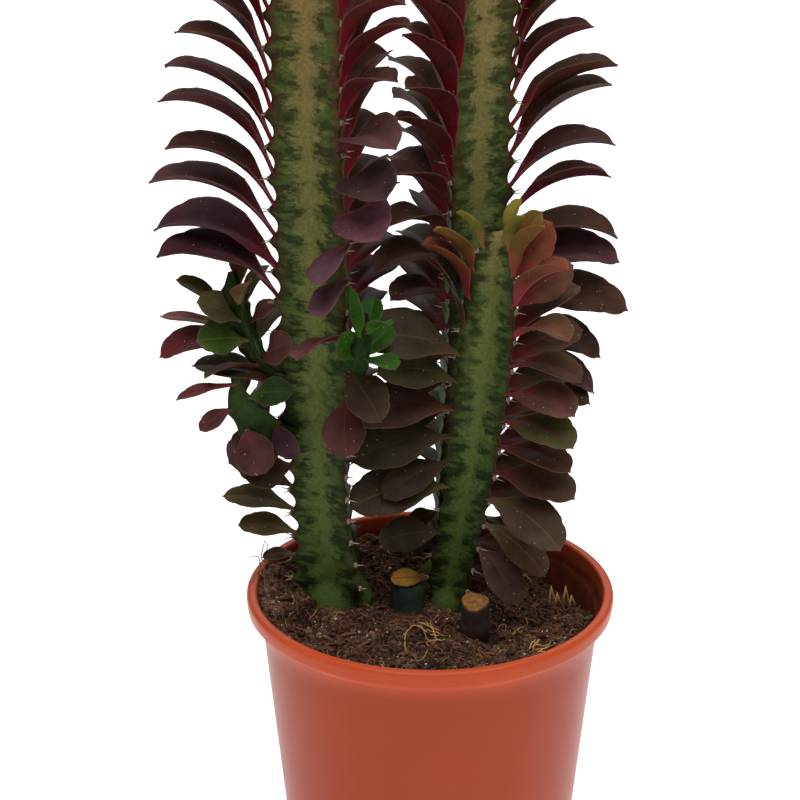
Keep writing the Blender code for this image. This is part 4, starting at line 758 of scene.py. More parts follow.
def milk_tree_blade(settings):
    """Leathery leaf, smoothly waxed: broad grey gloss on top, dull and redder below, a crimson midrib."""
    made, tree, shader, place = start_material("milk_tree_blade")
    tint = add(tree, "Attribute", attribute_name="blade_tint")
    rib_tint = add(tree, "Attribute", attribute_name="rib_tint")
    run = value_of(tree, "run")
    off = value_of(tree, "from_rib")
    edge = value_of(tree, "from_edge")
    top = value_of(tree, "upper_side")
    # uneven colour in clouds of 8 mm with a finer grain of 1 mm
    cloud = add(tree, "TexNoise", {"Vector": place, "Scale": 120.0, "Detail": 5.0, "Roughness": 0.55})
    light = add(tree, "MapRange", (cloud, 0.25, 0.75, 0.56, 1.20))
    # painted sheen: lighter towards the tip, darker towards the stalk
    painted_sheen = add(tree, "Math", (run, 0.60, 0.78), operation="MULTIPLY_ADD")
    sheened = add(tree, "Math", (light, painted_sheen), operation="MULTIPLY")
    body = add(tree, "VectorMath", {0: tint, 3: sheened}, operation="SCALE")
    # side veins 3.5 mm apart, sweeping forward from the midrib
    slant = add(tree, "Math", (off, -0.9, value_of(tree, "run_mm")), operation="MULTIPLY_ADD")
    ripple = add(tree, "Math", (slant, 1.8), operation="MULTIPLY")
    vein = add(tree, "Math", (ripple,), operation="SINE")
    veins = add(tree, "MapRange", (vein, 0.80, 1.0, 0.0, 0.16))
    veined = add(tree, "Mix", {0: veins, 6: body, 7: rib_tint}, **RGB_MIX)
    # midrib 1.6 mm wide at the base, thin at the tip, paler and weaker on the upper side
    width = add(tree, "MapRange", (run, 0.0, 1.0, 1.15, 0.25))
    near = add(tree, "Math", (off, width), operation="DIVIDE")
    strength = add(tree, "MapRange", (top, 0.0, 1.0, 0.95, 0.55))
    line = add(tree, "MapRange", (near, 0.45, 1.0, 1.0, 0.0))
    rib = add(tree, "Math", (line, strength), operation="MULTIPLY")
    ribbed = add(tree, "Mix", {0: rib, 6: veined, 7: rib_tint}, **RGB_MIX)
    # the stalk end takes the midrib's colour
    stalk = add(tree, "MapRange", (run, 0.16, 0.46, 0.88, 0.0))
    stalked = add(tree, "Mix", {0: stalk, 6: ribbed, 7: rib_tint}, **RGB_MIX)
    # pale translucent margin 0.5 mm wide
    rim = add(tree, "MapRange", (edge, 0.15, 0.60, 0.40, 0.0))
    rimmed = add(tree, "Mix", {0: rim, 6: stalked, 7: rgba("#6E4A40")}, **RGB_MIX)
    # specks of dust and wax 0.4 mm across, about 4 mm apart, on the upper side
    cell = add(tree, "TexVoronoi", {"Vector": place, "Scale": 260.0})
    speck = add(tree, "MapRange", (cell, 0.045, 0.085, 0.75, 0.0))
    specks = add(tree, "Math", (speck, top), operation="MULTIPLY")
    dusted = add(tree, "Mix", {0: specks, 6: rimmed, 7: rgba("#C8B4AE")}, **RGB_MIX)
    tree.links.new(dusted, shader.inputs["Base Color"])
    smooth = add(tree, "MapRange", (top, 0.0, 1.0, settings.roughness + 0.14, settings.roughness))
    uneven = add(tree, "Math", (cloud, 0.16, smooth), operation="MULTIPLY_ADD")
    tree.links.new(uneven, shader.inputs["Roughness"])
    shader.inputs["IOR"].default_value = 1.48
    shader.inputs["Specular IOR Level"].default_value = 0.08
    height = add(tree, "Math", (veins, -2.0, cloud), operation="MULTIPLY_ADD")
    bump = add(tree, "Bump", {"Height": height, "Strength": 0.30, "Distance": 0.0005})
    tree.links.new(bump, shader.inputs["Normal"])
    return made


def milk_tree_spine(settings):
    """Horny spine from a corky pad: pinkish grey and slightly glossy, its point dark."""
    made, tree, shader, place = start_material("milk_tree_spine")
    run = value_of(tree, "run")
    grain = add(tree, "TexNoise", {"Vector": place, "Scale": 900.0, "Detail": 3.0})
    shaded = add(tree, "Math", (grain, 0.3, run), operation="MULTIPLY_ADD")
    colour = add(
        tree, "ValToRGB", {"Fac": shaded},
        stops=(
            (0.0, "#5A4438"), (0.16, "#8E7468"), (0.45, settings.spine_colour),
            (0.85, "#A88C80"), (1.0, "#4A2E28"),
        ),
    )
    tree.links.new(colour, shader.inputs["Base Color"])
    shader.inputs["Roughness"].default_value = 0.48
    bump = add(tree, "Bump", {"Height": grain, "Strength": 0.3, "Distance": 0.0002})
    tree.links.new(bump, shader.inputs["Normal"])
    return made


def damp_peat(settings):
    """Damp peat mix, crumbled by hand: near black in its pores, warm brown on its dry crumbs, no gloss."""
    made, tree, shader, place = start_material("damp_peat")
    # crumbs 2 mm and dust 0.6 mm across
    coarse = add(tree, "TexNoise", {"Vector": place, "Scale": 480.0, "Detail": 6.0, "Roughness": 0.7})
    fine = add(tree, "TexNoise", {"Vector": place, "Scale": 1600.0, "Detail": 4.0, "Roughness": 0.7})
    patch = add(tree, "TexNoise", {"Vector": place, "Scale": 60.0, "Detail": 2.0})
    mixed = add(tree, "Math", (fine, 0.5, coarse), operation="MULTIPLY_ADD")
    level = add(tree, "Math", (patch, 0.35, mixed), operation="MULTIPLY_ADD")
    shade = add(tree, "MapRange", (level, 0.76, 1.12))
    colour = add(
        tree, "ValToRGB", {"Fac": shade},
        stops=((0.0, "#0E0705"), (0.40, settings.dark), (0.72, settings.dry), (1.0, "#B89070")),
    )
    # painted shade: near black down between the clods
    painted_shade = add(tree, "MapRange", (value_of(tree, "hollow"), 0.0, 0.75, 0.0, 0.88))
    hollow_shaded = add(tree, "Mix", {0: painted_shade, 6: colour, 7: rgba("#120A07")}, **RGB_MIX)
    tree.links.new(hollow_shaded, shader.inputs["Base Color"])
    shader.inputs["Roughness"].default_value = 0.92
    shader.inputs["Specular IOR Level"].default_value = 0.25
    bump = add(tree, "Bump", {"Height": mixed, "Strength": 0.9, "Distance": 0.0010})
    tree.links.new(bump, shader.inputs["Normal"])
    return made


def loose_bit(name, scale, roughness, spread=0.25):
    """A dry loose bit: its own tint, broken by a grain of the given scale."""
    made, tree, shader, place = start_material(name)
    tint = add(tree, "Attribute", attribute_name="bit_tint")
    grain = add(tree, "TexNoise", {"Vector": place, "Scale": scale, "Detail": 5.0, "Roughness": 0.65})
    light = add(tree, "MapRange", (grain, 0.3, 0.7, 1.0 - spread, 1.0 + spread))
    colour = add(tree, "VectorMath", {0: tint, 3: light}, operation="SCALE")
    tree.links.new(colour, shader.inputs["Base Color"])
    shader.inputs["Roughness"].default_value = roughness
    shader.inputs["Specular IOR Level"].default_value = 0.3
    bump = add(tree, "Bump", {"Height": grain, "Strength": 0.5, "Distance": 0.0004})
    tree.links.new(bump, shader.inputs["Normal"])
    return made


def dead_stem_bark():
    """Dried stem, sawn across: black-brown shrunken skin and a yellow-orange corky cut face."""
    made, tree, shader, place = start_material("dead_stem_bark")
    cut_face = value_of(tree, "cut_face")
    long_grain = add(tree, "Mapping", {"Vector": place, "Scale": (1.0, 1.0, 0.3)})
    grain = add(tree, "TexNoise", {"Vector": long_grain, "Scale": 700.0, "Detail": 6.0, "Roughness": 0.7})
    skin = add(
        tree, "ValToRGB", {"Fac": grain}, stops=((0.3, "#120B08"), (0.55, "#2E1D14"), (0.8, "#5A3A26")),
    )
    cork = add(tree, "TexNoise", {"Vector": place, "Scale": 420.0, "Detail": 5.0})
    face = add(tree, "ValToRGB", {"Fac": cork}, stops=((0.3, "#6A3E1A"), (0.5, "#905F28"), (0.72, "#A87C3C")))
    colour = add(tree, "Mix", {0: cut_face, 6: skin, 7: face}, **RGB_MIX)
    tree.links.new(colour, shader.inputs["Base Color"])
    shader.inputs["Roughness"].default_value = 0.85
    bump = add(tree, "Bump", {"Height": grain, "Strength": 0.6, "Distance": 0.0006})
    tree.links.new(bump, shader.inputs["Normal"])
    return made


def matt_backdrop_card(settings):
    """Matt white card, rolled smooth: an even pale ground with the faintest fibre."""
    made, tree, shader, place = start_material("matt_backdrop_card")
    fibre = add(tree, "TexNoise", {"Vector": place, "Scale": 900.0, "Detail": 2.0})
    colour = add(tree, "Mix", {0: fibre, 6: rgba(settings.card), 7: rgba("#FFFFFF")}, **RGB_MIX)
    tree.links.new(colour, shader.inputs["Base Color"])
    shader.inputs["Roughness"].default_value = 1.0
    shader.inputs["Specular IOR Level"].default_value = 0.0
    shader.inputs["Emission Color"].default_value = (1.0, 1.0, 1.0, 1.0)
    shader.inputs["Emission Strength"].default_value = settings.glow
    return made


def keyed(keys, at):
    """Smooth value at a distance, through (distance, value) keys."""
    if at <= keys[0][0]:
        return keys[0][1]
    if at >= keys[-1][0]:
        return keys[-1][1]
    last = next(i for i in range(1, len(keys)) if at <= keys[i][0])
    (a, va), (b, vb) = keys[last - 1], keys[last]
    t = (at - a) / (b - a)
    ease = t * t * (3.0 - 2.0 * t)
    return va + (vb - va) * (0.5 * t + 0.5 * ease)


def smooth_path(points, count):
    """Evenly shared points of a Catmull-Rom curve through the given ones."""
    points = [Vector(p) for p in points]
    ends = [2.0 * points[0] - points[1]] + points + [2.0 * points[-1] - points[-2]]
    found = []
    for i in range(1, len(ends) - 2):
        p0, p1, p2, p3 = ends[i - 1 : i + 3]
        for k in range(count):
            t = k / count
            found.append(
                0.5
                * (
                    2.0 * p1
                    + (p2 - p0) * t
                    + (2.0 * p0 - 5.0 * p1 + 4.0 * p2 - p3) * t * t
                    + (3.0 * p1 - p0 - 3.0 * p2 + p3) * t * t * t
                )
            )
    found.append(points[-1])
    return found


class Shoot:
    """A ribbed shoot: its axis, its ribs and where its teeth are."""

    def __init__(self, plan):
        self.plan = plan
        self.points = smooth_path(plan["path"], 12)
        self.lengths = [0.0]
        for a, b in zip(self.points, self.points[1:]):
            self.lengths.append(self.lengths[-1] + (b - a).length)
        self.total = self.lengths[-1]
        rise = self.points[-1] - self.points[0]
        flat = Vector((rise.x, rise.y, 0.0))
        if flat.length < 0.4 * abs(rise.z):
            self.side = Vector((1.0, 0.0, 0.0))
        else:
            self.side = Vector((-flat.y, flat.x, 0.0)).normalized()
        self.stands = "peg" in plan
        self.start = plan["collar"] - plan["path"][0][2] if self.stands else 0.0
        self.teeth = []
        at = self.start + (0.011 if self.stands else 0.006)
        while at < self.total - 0.003:
            self.teeth.append(at)
            at += keyed(plan["pitch"], at)

    def frame(self, at):
        """Centre, direction and two sideways directions at a distance along the axis."""
        at = min(max(at, 0.0), self.total)
        i = next((k for k in range(1, len(self.lengths)) if at <= self.lengths[k]), len(self.lengths) - 1)
        a, b = self.points[i - 1], self.points[i]
        t = (at - self.lengths[i - 1]) / (self.lengths[i] - self.lengths[i - 1])
        before = self.points[max(i - 2, 0)]
        after = self.points[min(i + 1, len(self.points) - 1)]
        along = ((b - before).lerp(after - a, t)).normalized()
        u = (self.side - along * self.side.dot(along)).normalized()
        return a.lerp(b, t), along, u, along.cross(u)

    def stagger(self, rib_turn):
        """How far a point at an angle round the section is moved along the axis."""
        place = (rib_turn % 360.0) / 120.0
        low = int(place) % RIBS
        t = place - int(place)
        return RIB_STAGGER[low] * (1.0 - t) + RIB_STAGGER[(low + 1) % RIBS] * t

    def fade(self, at):
        """Less stagger where the shoot starts and ends."""
        room = min(at - self.start - 0.004, self.total - 0.004 - at)
        return min(max(room / 0.02, 0.0), 1.0)

    def ray(self, at, rib_turn):
        """For a skin point: centre, outward direction, degrees off the nearest crest, the crest's radius."""
        pitch = keyed(self.plan["pitch"], at)
        moved = at + self.stagger(rib_turn) * pitch * self.fade(at)
        centre, _, u, v = self.frame(moved)
        angle = math.radians(self.plan["turn"] + rib_turn)
        off = rib_turn % 120.0
        off = min(off, 120.0 - off)
        return centre, u * math.cos(angle) + v * math.sin(angle), off, keyed(self.plan["radius"], moved)

    def rounded(self, at, ribbed):
        """The ribbed radius, rounded down to the peg's where the shoot comes out of the soil."""
        if not self.stands:
            return ribbed
        t = min(max((at - self.start - 0.0008) / 0.009, 0.0), 1.0)
        return self.plan["peg"] * (1.0 - t) + ribbed * t

    def point(self, at, rib_turn, tooth):
        """A point of the skin: distance, angle from the first rib, and how far a tooth stands out."""
        centre, out, off, crest = self.ray(at, rib_turn)
        shape = (1.0 - off / 60.0) ** SECTION_POWER
        valley = self.plan.get("valley", VALLEY)
        jut = TOOTH * tooth * max(0.0, 1.0 - off / TOOTH_SPREAD) * (1.0 - valley) / (1.0 - VALLEY)
        return centre + out * self.rounded(at, crest * (valley + (1.0 - valley) * shape + jut))

    def body(self):
        """Vertices and triangles of the closed ribbed body: a ring a tooth, and crest points between."""
        angles = [rib * 120.0 + a for rib in range(RIBS) for a in SECTION]
        count = len(angles)
        rings = [(0.0, 0.0)]
        if self.stands:
            rings.append((self.start + 0.0008, 0.0))
        plain = len(rings) - 1
        rings += [(at, 1.0) for at in self.teeth]
        rings.append((self.total - 0.0006, 0.0))
        vertices = [self.point(at, angle, tooth) for at, tooth in rings for angle in angles]
        faces = []
        for i in range(len(rings) - 1):
            dips = []
            if i > plain:
                middle = (rings[i][0] + rings[i + 1][0]) / 2.0
                for rib in range(RIBS):
                    dips.append(len(vertices))
                    vertices.append(self.point(middle, rib * 120.0, 0.0))
            for k in range(count):
                a, b = i * count + k, i * count + (k + 1) % count
                c, d = a + count, b + count
                if not dips or k % 4 in (1, 2):
                    faces += [(a, b, d), (a, d, c)]
                elif k % 4 == 0:
                    dip = dips[k // 4]
                    faces += [(a, b, dip), (b, d, dip), (dip, d, c)]
                else:
                    dip = dips[(k // 4 + 1) % RIBS]
                    faces += [(a, b, dip), (a, dip, c), (c, dip, d)]
        bottom, top = len(vertices), len(vertices) + 1
        vertices.append(self.frame(0.0)[0])
        vertices.append(self.frame(self.total)[0])
        last = (len(rings) - 1) * count
        for k in range(count):
            faces.append((bottom, (k + 1) % count, k))
            faces.append((top, last + k, last + (k + 1) % count))
        return vertices, faces

    def tooth_frame(self, index, rib):
        """Tip of a tooth, the outward direction there and the axis direction."""
        at = self.teeth[index]
        tip = self.point(at, rib * 120.0, 1.0)
        pitch = keyed(self.plan["pitch"], at)
        centre, along = self.frame(at + RIB_STAGGER[rib] * pitch * self.fade(at))[:2]
        out = (tip - centre).normalized()
        return tip, out, along


def plan_leaves(shoot, shoot_index):
    """One leaf a tooth, less the fallen ones, from the shoot's rules and its seed.

    "own" holds, by rib and tooth, what differs from the rule; a leaf named there hasn't fallen.
    """
    plan = shoot.plan
    chance = random.Random(plan["seed"])
    leaves = []
    for index, at in enumerate(shoot.teeth):
        for rib in range(RIBS):
            draws = [chance.random() for _ in range(9)]
            wobble = [chance.gauss(0.0, 1.0) for _ in range(4)]
            rule = plan["ribs"][rib]
            own = plan.get("own", {}).get((rib, index))
            if own is None and draws[0] < keyed(rule.get("bare", plan["bare"]), at):
                continue
            tip, out, along = shoot.tooth_frame(index, rib)
            leaves.append(
                {
                    "shoot": shoot_index,
                    "tooth": index,
                    "rib": rib,
                    "root": tip + along * 0.0014,
                    "out": out,
                    "along": along,
                    "turn": keyed(rule["swing"], at) + 6.0 * wobble[0],
                    "lift": keyed(rule["lift"], at) + 5.0 * wobble[1],
                    "curl": keyed(rule["curl"], at) + 6.0 * wobble[2],
                    "length": keyed(rule["length"], at) * (0.90 + 0.16 * draws[1]),
                    "wide": keyed(plan.get("wide", LEAF_WIDTH), at) * (0.92 + 0.16 * draws[2]),
                    "roll": keyed(rule["roll"], at) + 7.0 * wobble[3],
                    "fold": keyed(rule["fold"], at) * (0.85 + 0.3 * draws[3]),
                    "drift": 0.10 * (draws[4] - 0.5),
                    "age": 1.0 - at / shoot.total,
                    "hue": draws[5],
                }
            )
            leaves[-1].update(own or {})
    return leaves


def leaf_curve(leaf, stations, parts=24):
    """Points, directions, sides and upper normals along the midrib at the stations."""
    turn = Matrix.Rotation(math.radians(leaf["turn"]), 3, leaf["along"])
    out = turn @ leaf["out"]
    up = leaf["along"]
    side = up.cross(out)
    step = leaf["length"] / parts
    at = leaf["root"] - leaf["out"] * LEAF_SINK
    sunk = LEAF_SINK / leaf["length"]
    spots = []
    for i in range(parts + 1):
        t = i / parts
        bend = max(0.0, (t - sunk) / (1.0 - sunk)) ** 1.15
        lift = math.radians(leaf["lift"] - leaf["curl"] * bend)
        heading = out * math.cos(lift) + up * math.sin(lift)
        upper = up * math.cos(lift) - out * math.sin(lift)
        spots.append((at.copy(), heading, upper))
        at = at + (heading + side * leaf["drift"] * t) * step
    found = []
    for s in stations:
        k = min(int(s * parts), parts - 1)
        f = s * parts - k
        (pa, ha, na), (pb, hb, nb) = spots[k], spots[k + 1]
        roll = Matrix.Rotation(math.radians(leaf["roll"]) * min(1.0, s * 2.0), 3, ha.lerp(hb, f).normalized())
        found.append((pa.lerp(pb, f), ha.lerp(hb, f), roll @ side, roll @ na.lerp(nb, f).normalized()))
    return found


def leaf_solid(leaf, grow=0.0):
    """Closed leaf blade, folded along its midrib, thick at the midrib and sharp at the edges."""
    vertices, faces = [], []
    width = leaf["length"] * leaf["wide"]
    curve = leaf_curve(leaf, LEAF_STATIONS + (1.0,))
    for s, (point, _, side, upper) in zip(LEAF_STATIONS, curve):
        half = max(0.5 * width * keyed(LEAF_SHAPE, s), 0.0015) + grow
        fold = math.radians(leaf["fold"]) * min(1.0, max(0.0, (s - 0.08) / 0.3))
        thick = 0.5 * LEAF_THICK * (1.35 - 0.45 * s) + grow
        edge = side * (half * math.cos(fold))
        raised = upper * (half * math.sin(fold))
        vertices += [
            point - edge + raised,
            point + upper * thick,
            point + edge + raised,
            point - upper * thick,
        ]
    tip, heading = curve[-1][0], curve[-1][1]
    vertices.append(tip + heading * grow)
    for i in range(len(LEAF_STATIONS) - 1):
        for k in range(4):
            a, b = i * 4 + k, i * 4 + (k + 1) % 4
            if k in (0, 3):
                faces.append((a, a + 4, b))
                faces.append((b, a + 4, b + 4))
            else:
                faces.append((a, a + 4, b + 4))
                faces.append((a, b + 4, b))
    last = (len(LEAF_STATIONS) - 1) * 4
    end = len(vertices) - 1
    for k in range(4):
        faces.append((last + k, end, last + (k + 1) % 4))
    faces.append((0, 1, 3))
    faces.append((1, 2, 3))
    return vertices, faces


def tree_of(solid):
    """Search tree of a solid's vertices and faces."""
    return BVHTree.FromPolygons([tuple(v) for v in solid[0]], solid[1])


def clear_leaves(leaves, nodes, fixed):
    """Turn, lift and at last shorten each leaf until it is clear of every other node; drop it if it never is.

    A place that crosses none of its own node's leaves and side shoots is taken first, where one is found.
    nodes gives the node name of each shoot, and fixed is [(node name, shoot index, search tree)].
    """
    placed = []
    kept = []
    for leaf in leaves:
        node = nodes[leaf["shoot"]]
        walls = [tree for name, shoot, tree in fixed if name != node]
        own = [tree for name, shoot, tree in fixed if name == node and shoot != leaf["shoot"]]
        near = [spot for spot in placed if (leaf["root"] - spot["root"]).length < 0.13]
        start = dict(leaf)
        found = None
        for step in range(CLEAR_STEPS):
            trial = dict(start)
            trial["turn"] += (5.0 if step % 2 else -5.0) * ((step + 1) // 2)
            trial["lift"] += 1.5 * step
            trial["length"] *= 1.0 - 0.015 * max(0, step - 6)
            grown = tree_of(leaf_solid(trial, LEAF_CLEARANCE))
            if any(grown.overlap(wall) for wall in walls):
                continue
            if any(spot["node"] != node and grown.overlap(spot["grown"]) for spot in near):
                continue
            true = tree_of(leaf_solid(trial))
            crossed = sum(1 for tree in own if true.overlap(tree))
            crossed += sum(1 for spot in near if spot["node"] == node and true.overlap(spot["true"]))
            if found is None or crossed < found["crossed"]:
                found = {"leaf": trial, "grown": grown, "true": true, "crossed": crossed}
            if crossed == 0:
                break
        if found:
            placed.append(
                {"node": node, "root": leaf["root"], "grown": found["grown"], "true": found["true"]},
            )
            kept.append(found["leaf"])
    return kept


def soil_height(x, y):
    """Uneven top of the soil: banked up at the left and back left, hollow at the back right."""
    z = SOIL_LEVEL
    for px, py, height, reach in SOIL_BANKS:
        z += height * math.exp(-((x - px) ** 2 + (y - py) ** 2) / reach)
    z += 0.0009 * math.sin(95.0 * x + 1.0) * math.cos(83.0 * y - 0.4)
    z += 0.0006 * math.sin(210.0 * x - 170.0 * y)
    for plan in STANDING:
        foot = plan["path"][1]
        away = math.hypot(x - foot[0], y - foot[1])
        reach = plan["peg"] + 0.004
        t = min(max((away - reach) / FOOT_REACH, 0.0), 1.0)
        t = t * t * (3.0 - 2.0 * t)
        z = (plan["collar"] - 0.0004) * (1.0 - t) + z * t
    return z


def stub_leaf(shoot, shoot_index):
    """The one yellow-orange leaf of the small stub, on its top."""
    top = shoot.frame(shoot.total - 0.006)[0]
    out = Vector((-0.97, -0.20, 0.06)).normalized()
    lean = Vector((0.0, -0.62, 0.78))
    up = (lean - out * lean.dot(out)).normalized()
    return {
        "shoot": shoot_index,
        "tooth": 0,
        "rib": 0,
        "root": top - out * 0.0036 + up * 0.0074,
        "out": out,
        "along": up,
        "turn": 0.0,
        "lift": 10.0,
        "curl": 34.0,
        "length": 0.0175,
        "wide": 0.56,
        "roll": 0.0,
        "fold": 8.0,
        "drift": 0.0,
        "age": 0.5,
        "hue": 0.5,
    }


def soil_tree():
    """Coarse top of the soil, to keep leaves clear of it."""
    steps = 20
    size = 0.080
    vertices, faces = [], []
    for i in range(steps + 1):
        for k in range(steps + 1):
            x, y = (2.0 * i / steps - 1.0) * size, (2.0 * k / steps - 1.0) * size
            vertices.append((x, y, soil_height(x, y) + 0.0008))
    for i in range(steps):
        for k in range(steps):
            a = i * (steps + 1) + k
            faces.append((a, a + 1, a + steps + 2, a + steps + 1))
    return BVHTree.FromPolygons(vertices, faces)


def rim_tree():
    """The rim's outline, to keep leaves clear of it."""
    vertices, faces = [], []
    ring = [(0.0770, 0.1380), (0.0800, 0.1500), (0.0850, 0.1500), (0.0850, 0.1420)]
    for k in range(RIM_TURNS):
        angle = 2.0 * math.pi * k / RIM_TURNS
        for r, z in ring:
            vertices.append((r * math.cos(angle), r * math.sin(angle), z))
    for k in range(RIM_TURNS):
        n = (k + 1) % RIM_TURNS
        for i in range(len(ring) - 1):
            faces.append((k * 4 + i, n * 4 + i, n * 4 + i + 1, k * 4 + i + 1))
    return BVHTree.FromPolygons(vertices, faces)


class Pile:
    """Gathers closed shapes and their point values, to make one piece."""

    def __init__(self):
        self.points = []
        self.faces = []
        self.values = {}

    def put(self, points, faces, **values):
        """Add a shape; each value is one for the whole shape, or a list with one for each of its points."""
        start = len(self.points)
        self.points += [tuple(p) for p in points]
        self.faces += [tuple(start + i for i in face) for face in faces]
        for name, value in values.items():
            each = value if isinstance(value, list) else [value] * len(points)
            self.values.setdefault(name, []).extend(each)

    def piece(self, name, material, slot, *nodes, smooth=True):
        """The finished piece, with its values as point attributes, on the body and in place of its nodes."""
        mesh = bpy.data.meshes.new(name)
        mesh.from_pydata(self.points, [], self.faces)
        for key, each in self.values.items():
            if isinstance(each[0], tuple):
                made = mesh.attributes.new(key, "FLOAT_COLOR", "POINT")
                made.data.foreach_set("color", [c for colour in each for c in (*colour, 1.0)])
            else:
                made = mesh.attributes.new(key, "FLOAT", "POINT")
                made.data.foreach_set("value", each)
        bm = bmesh.new()
        bm.from_mesh(mesh)
        bmesh.ops.recalc_face_normals(bm, faces=bm.faces)
        bm.to_mesh(mesh)
        bm.free()
        mesh.polygons.foreach_set("use_smooth", [smooth] * len(mesh.polygons))
        return settle(bpy.data.objects.new(name, mesh), material, slot, *nodes)


def settle(item, material, slot, *nodes):
    """Link a piece, give it its material, and let it ride in place of its nodes."""
    if item.name not in bpy.context.scene.collection.objects:
        bpy.context.scene.collection.objects.link(item)
    item.data.materials.clear()
    item.data.materials.append(material)
    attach(item, "root")
    if nodes:
        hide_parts(*nodes)
    return item


def ring_faces(rings, count, first=0):
    """Four-sided faces between rings of count points each, the first ring starting at point first."""
    faces = []
    for i in range(rings - 1):
        for k in range(count):
            a, b = first + i * count + k, first + i * count + (k + 1) % count
            faces.append((a, b, b + count, a + count))
    return faces


def polar(r, angle, z):
    """A point at a radius, an angle and a height round the pot's axis."""
    return Vector((r * math.cos(angle), r * math.sin(angle), z))


def skin_point(shoot, at, rib_turn, phase):
    """A point of the fine skin: a rounded crest, a cusp at each tooth and a low swelling behind it."""
    centre, out, off, crest = shoot.ray(at, rib_turn)
    blunt = math.sqrt(off * off + 9.0) - 3.0
    shape = (1.0 - blunt / 60.0) ** SECTION_POWER
    wave = 0.5 + 0.5 * math.cos(2.0 * math.pi * phase)
    cusp = 0.55 * wave ** 2 + 0.45 * max(0.0, 1.0 - 2.0 * abs(phase)) ** 1.5
    tooth = TOOTH * cusp * math.exp(-((off / 10.0) ** 2))
    swell = 0.045 * (wave - 0.5) * math.exp(-(((off - 20.0) / 18.0) ** 2))
    valley = shoot.plan.get("valley", VALLEY)
    ribbed = crest * (valley + (1.0 - valley) * (shape + (tooth + swell) / (1.0 - VALLEY)))
    spot = centre + out * shoot.rounded(at, ribbed)
    rough = noise.noise(spot * 260.0) * 0.00022 + noise.noise(spot * 90.0) * 0.00030
    return spot + out * rough


def put_skin(pile, shoot):
    """The closed fine skin of a shoot, in rings, with what its pattern follows."""
    offs = list(FINE_SECTION) + [120.0 - off for off in FINE_SECTION[-2:0:-1]]
    turns = [rib * 120.0 + off for rib in range(RIBS) for off in offs]
    shares = [min(off, 120.0 - off) / 60.0 for off in offs] * RIBS
    rings = [(shoot.start - 0.006, 0.5), (shoot.start + 0.0008, 0.5)] if shoot.stands else [(0.0, 0.5)]
    low = rings[-1][0]
    for tooth in shoot.teeth:
        step = keyed(shoot.plan["pitch"], tooth)
        first = -RINGS_A_TOOTH // 2
        for k in range(first, RINGS_A_TOOTH // 2):
            phase = k / RINGS_A_TOOTH
            at = tooth + phase * step
            if at > low + 0.0003 and at < shoot.total - 0.0008:
                rings.append((at, phase))
                low = at
    rings.append((shoot.total - 0.0006, 0.5))
    points, from_crest, waves, rises = [], [], [], []
    for at, phase in rings:
        for turn, share in zip(turns, shares):
            points.append(skin_point(shoot, at, turn, phase))
            from_crest.append(share)
            waves.append(math.cos(2.0 * math.pi * phase))
            fresh_tip = max(0.0, 1.0 - (shoot.total - at) / 0.026)
            rises.append((points[-1].z - 0.14) / 0.34 + (0.30 * fresh_tip if shoot.plan["spiny"] else 0.0))
    count = len(turns)
    faces = ring_faces(len(rings), count)
    foot, top = len(points), len(points) + 1
    points += [shoot.frame(rings[0][0])[0], shoot.frame(shoot.total)[0]]
    from_crest += [1.0, 1.0]
    waves += [0.0, 0.0]
    rises += [0.0, 1.0]
    last = (len(rings) - 1) * count
    for k in range(count):
        faces.append((foot, (k + 1) % count, k))
        faces.append((top, last + k, last + (k + 1) % count))
    fresh = 0.0 if shoot.plan["spiny"] else 0.85
    pile.put(points, faces, from_crest=from_crest, tooth_wave=waves, rise=rises, fresh=fresh)


def leaf_width(share):
    """Half width of a fine leaf by its place along the midrib: a round end with a short point."""
    if share <= 0.80:
        return keyed(LEAF_SHAPE, share)
    t = (share - 0.80) / 0.175
    rounded = keyed(LEAF_SHAPE, 0.80) * max(0.0, 1.0 - t * t) ** 0.62
    return max(rounded, 0.10 * (1.0 - share) / 0.03 if share > 0.965 else 0.0)


def leaf_colours(name, leaf):
    """Linear colours of a leaf's upper side, underside and midrib, by its height and its own chance."""
    own = OWN_COLOURS.get(name, {}).get((leaf["rib"], leaf["tooth"]))
    if own:
        return [linear(c) for c in own]
    keys = BLADE_COLOURS[name]
    share = 1.0 - leaf["age"]
    high = next((i for i in range(1, len(keys)) if share <= keys[i][0]), len(keys) - 1)
    t = min(max((share - keys[high - 1][0]) / (keys[high][0] - keys[high - 1][0]), 0.0), 1.0)
    found = [blend(linear(a), linear(b), t) for a, b in zip(keys[high - 1][1:], keys[high][1:])]
    _, lean, far = next(entry for entry in LEANS[name] if leaf["hue"] < entry[0])
    low = 1.0 if share < 0.6 or name.endswith("shoot") else 0.4
    return [blend(c, linear(lean), far * low * part) for c, part in zip(found, (1.0, 0.8, 0.3))]


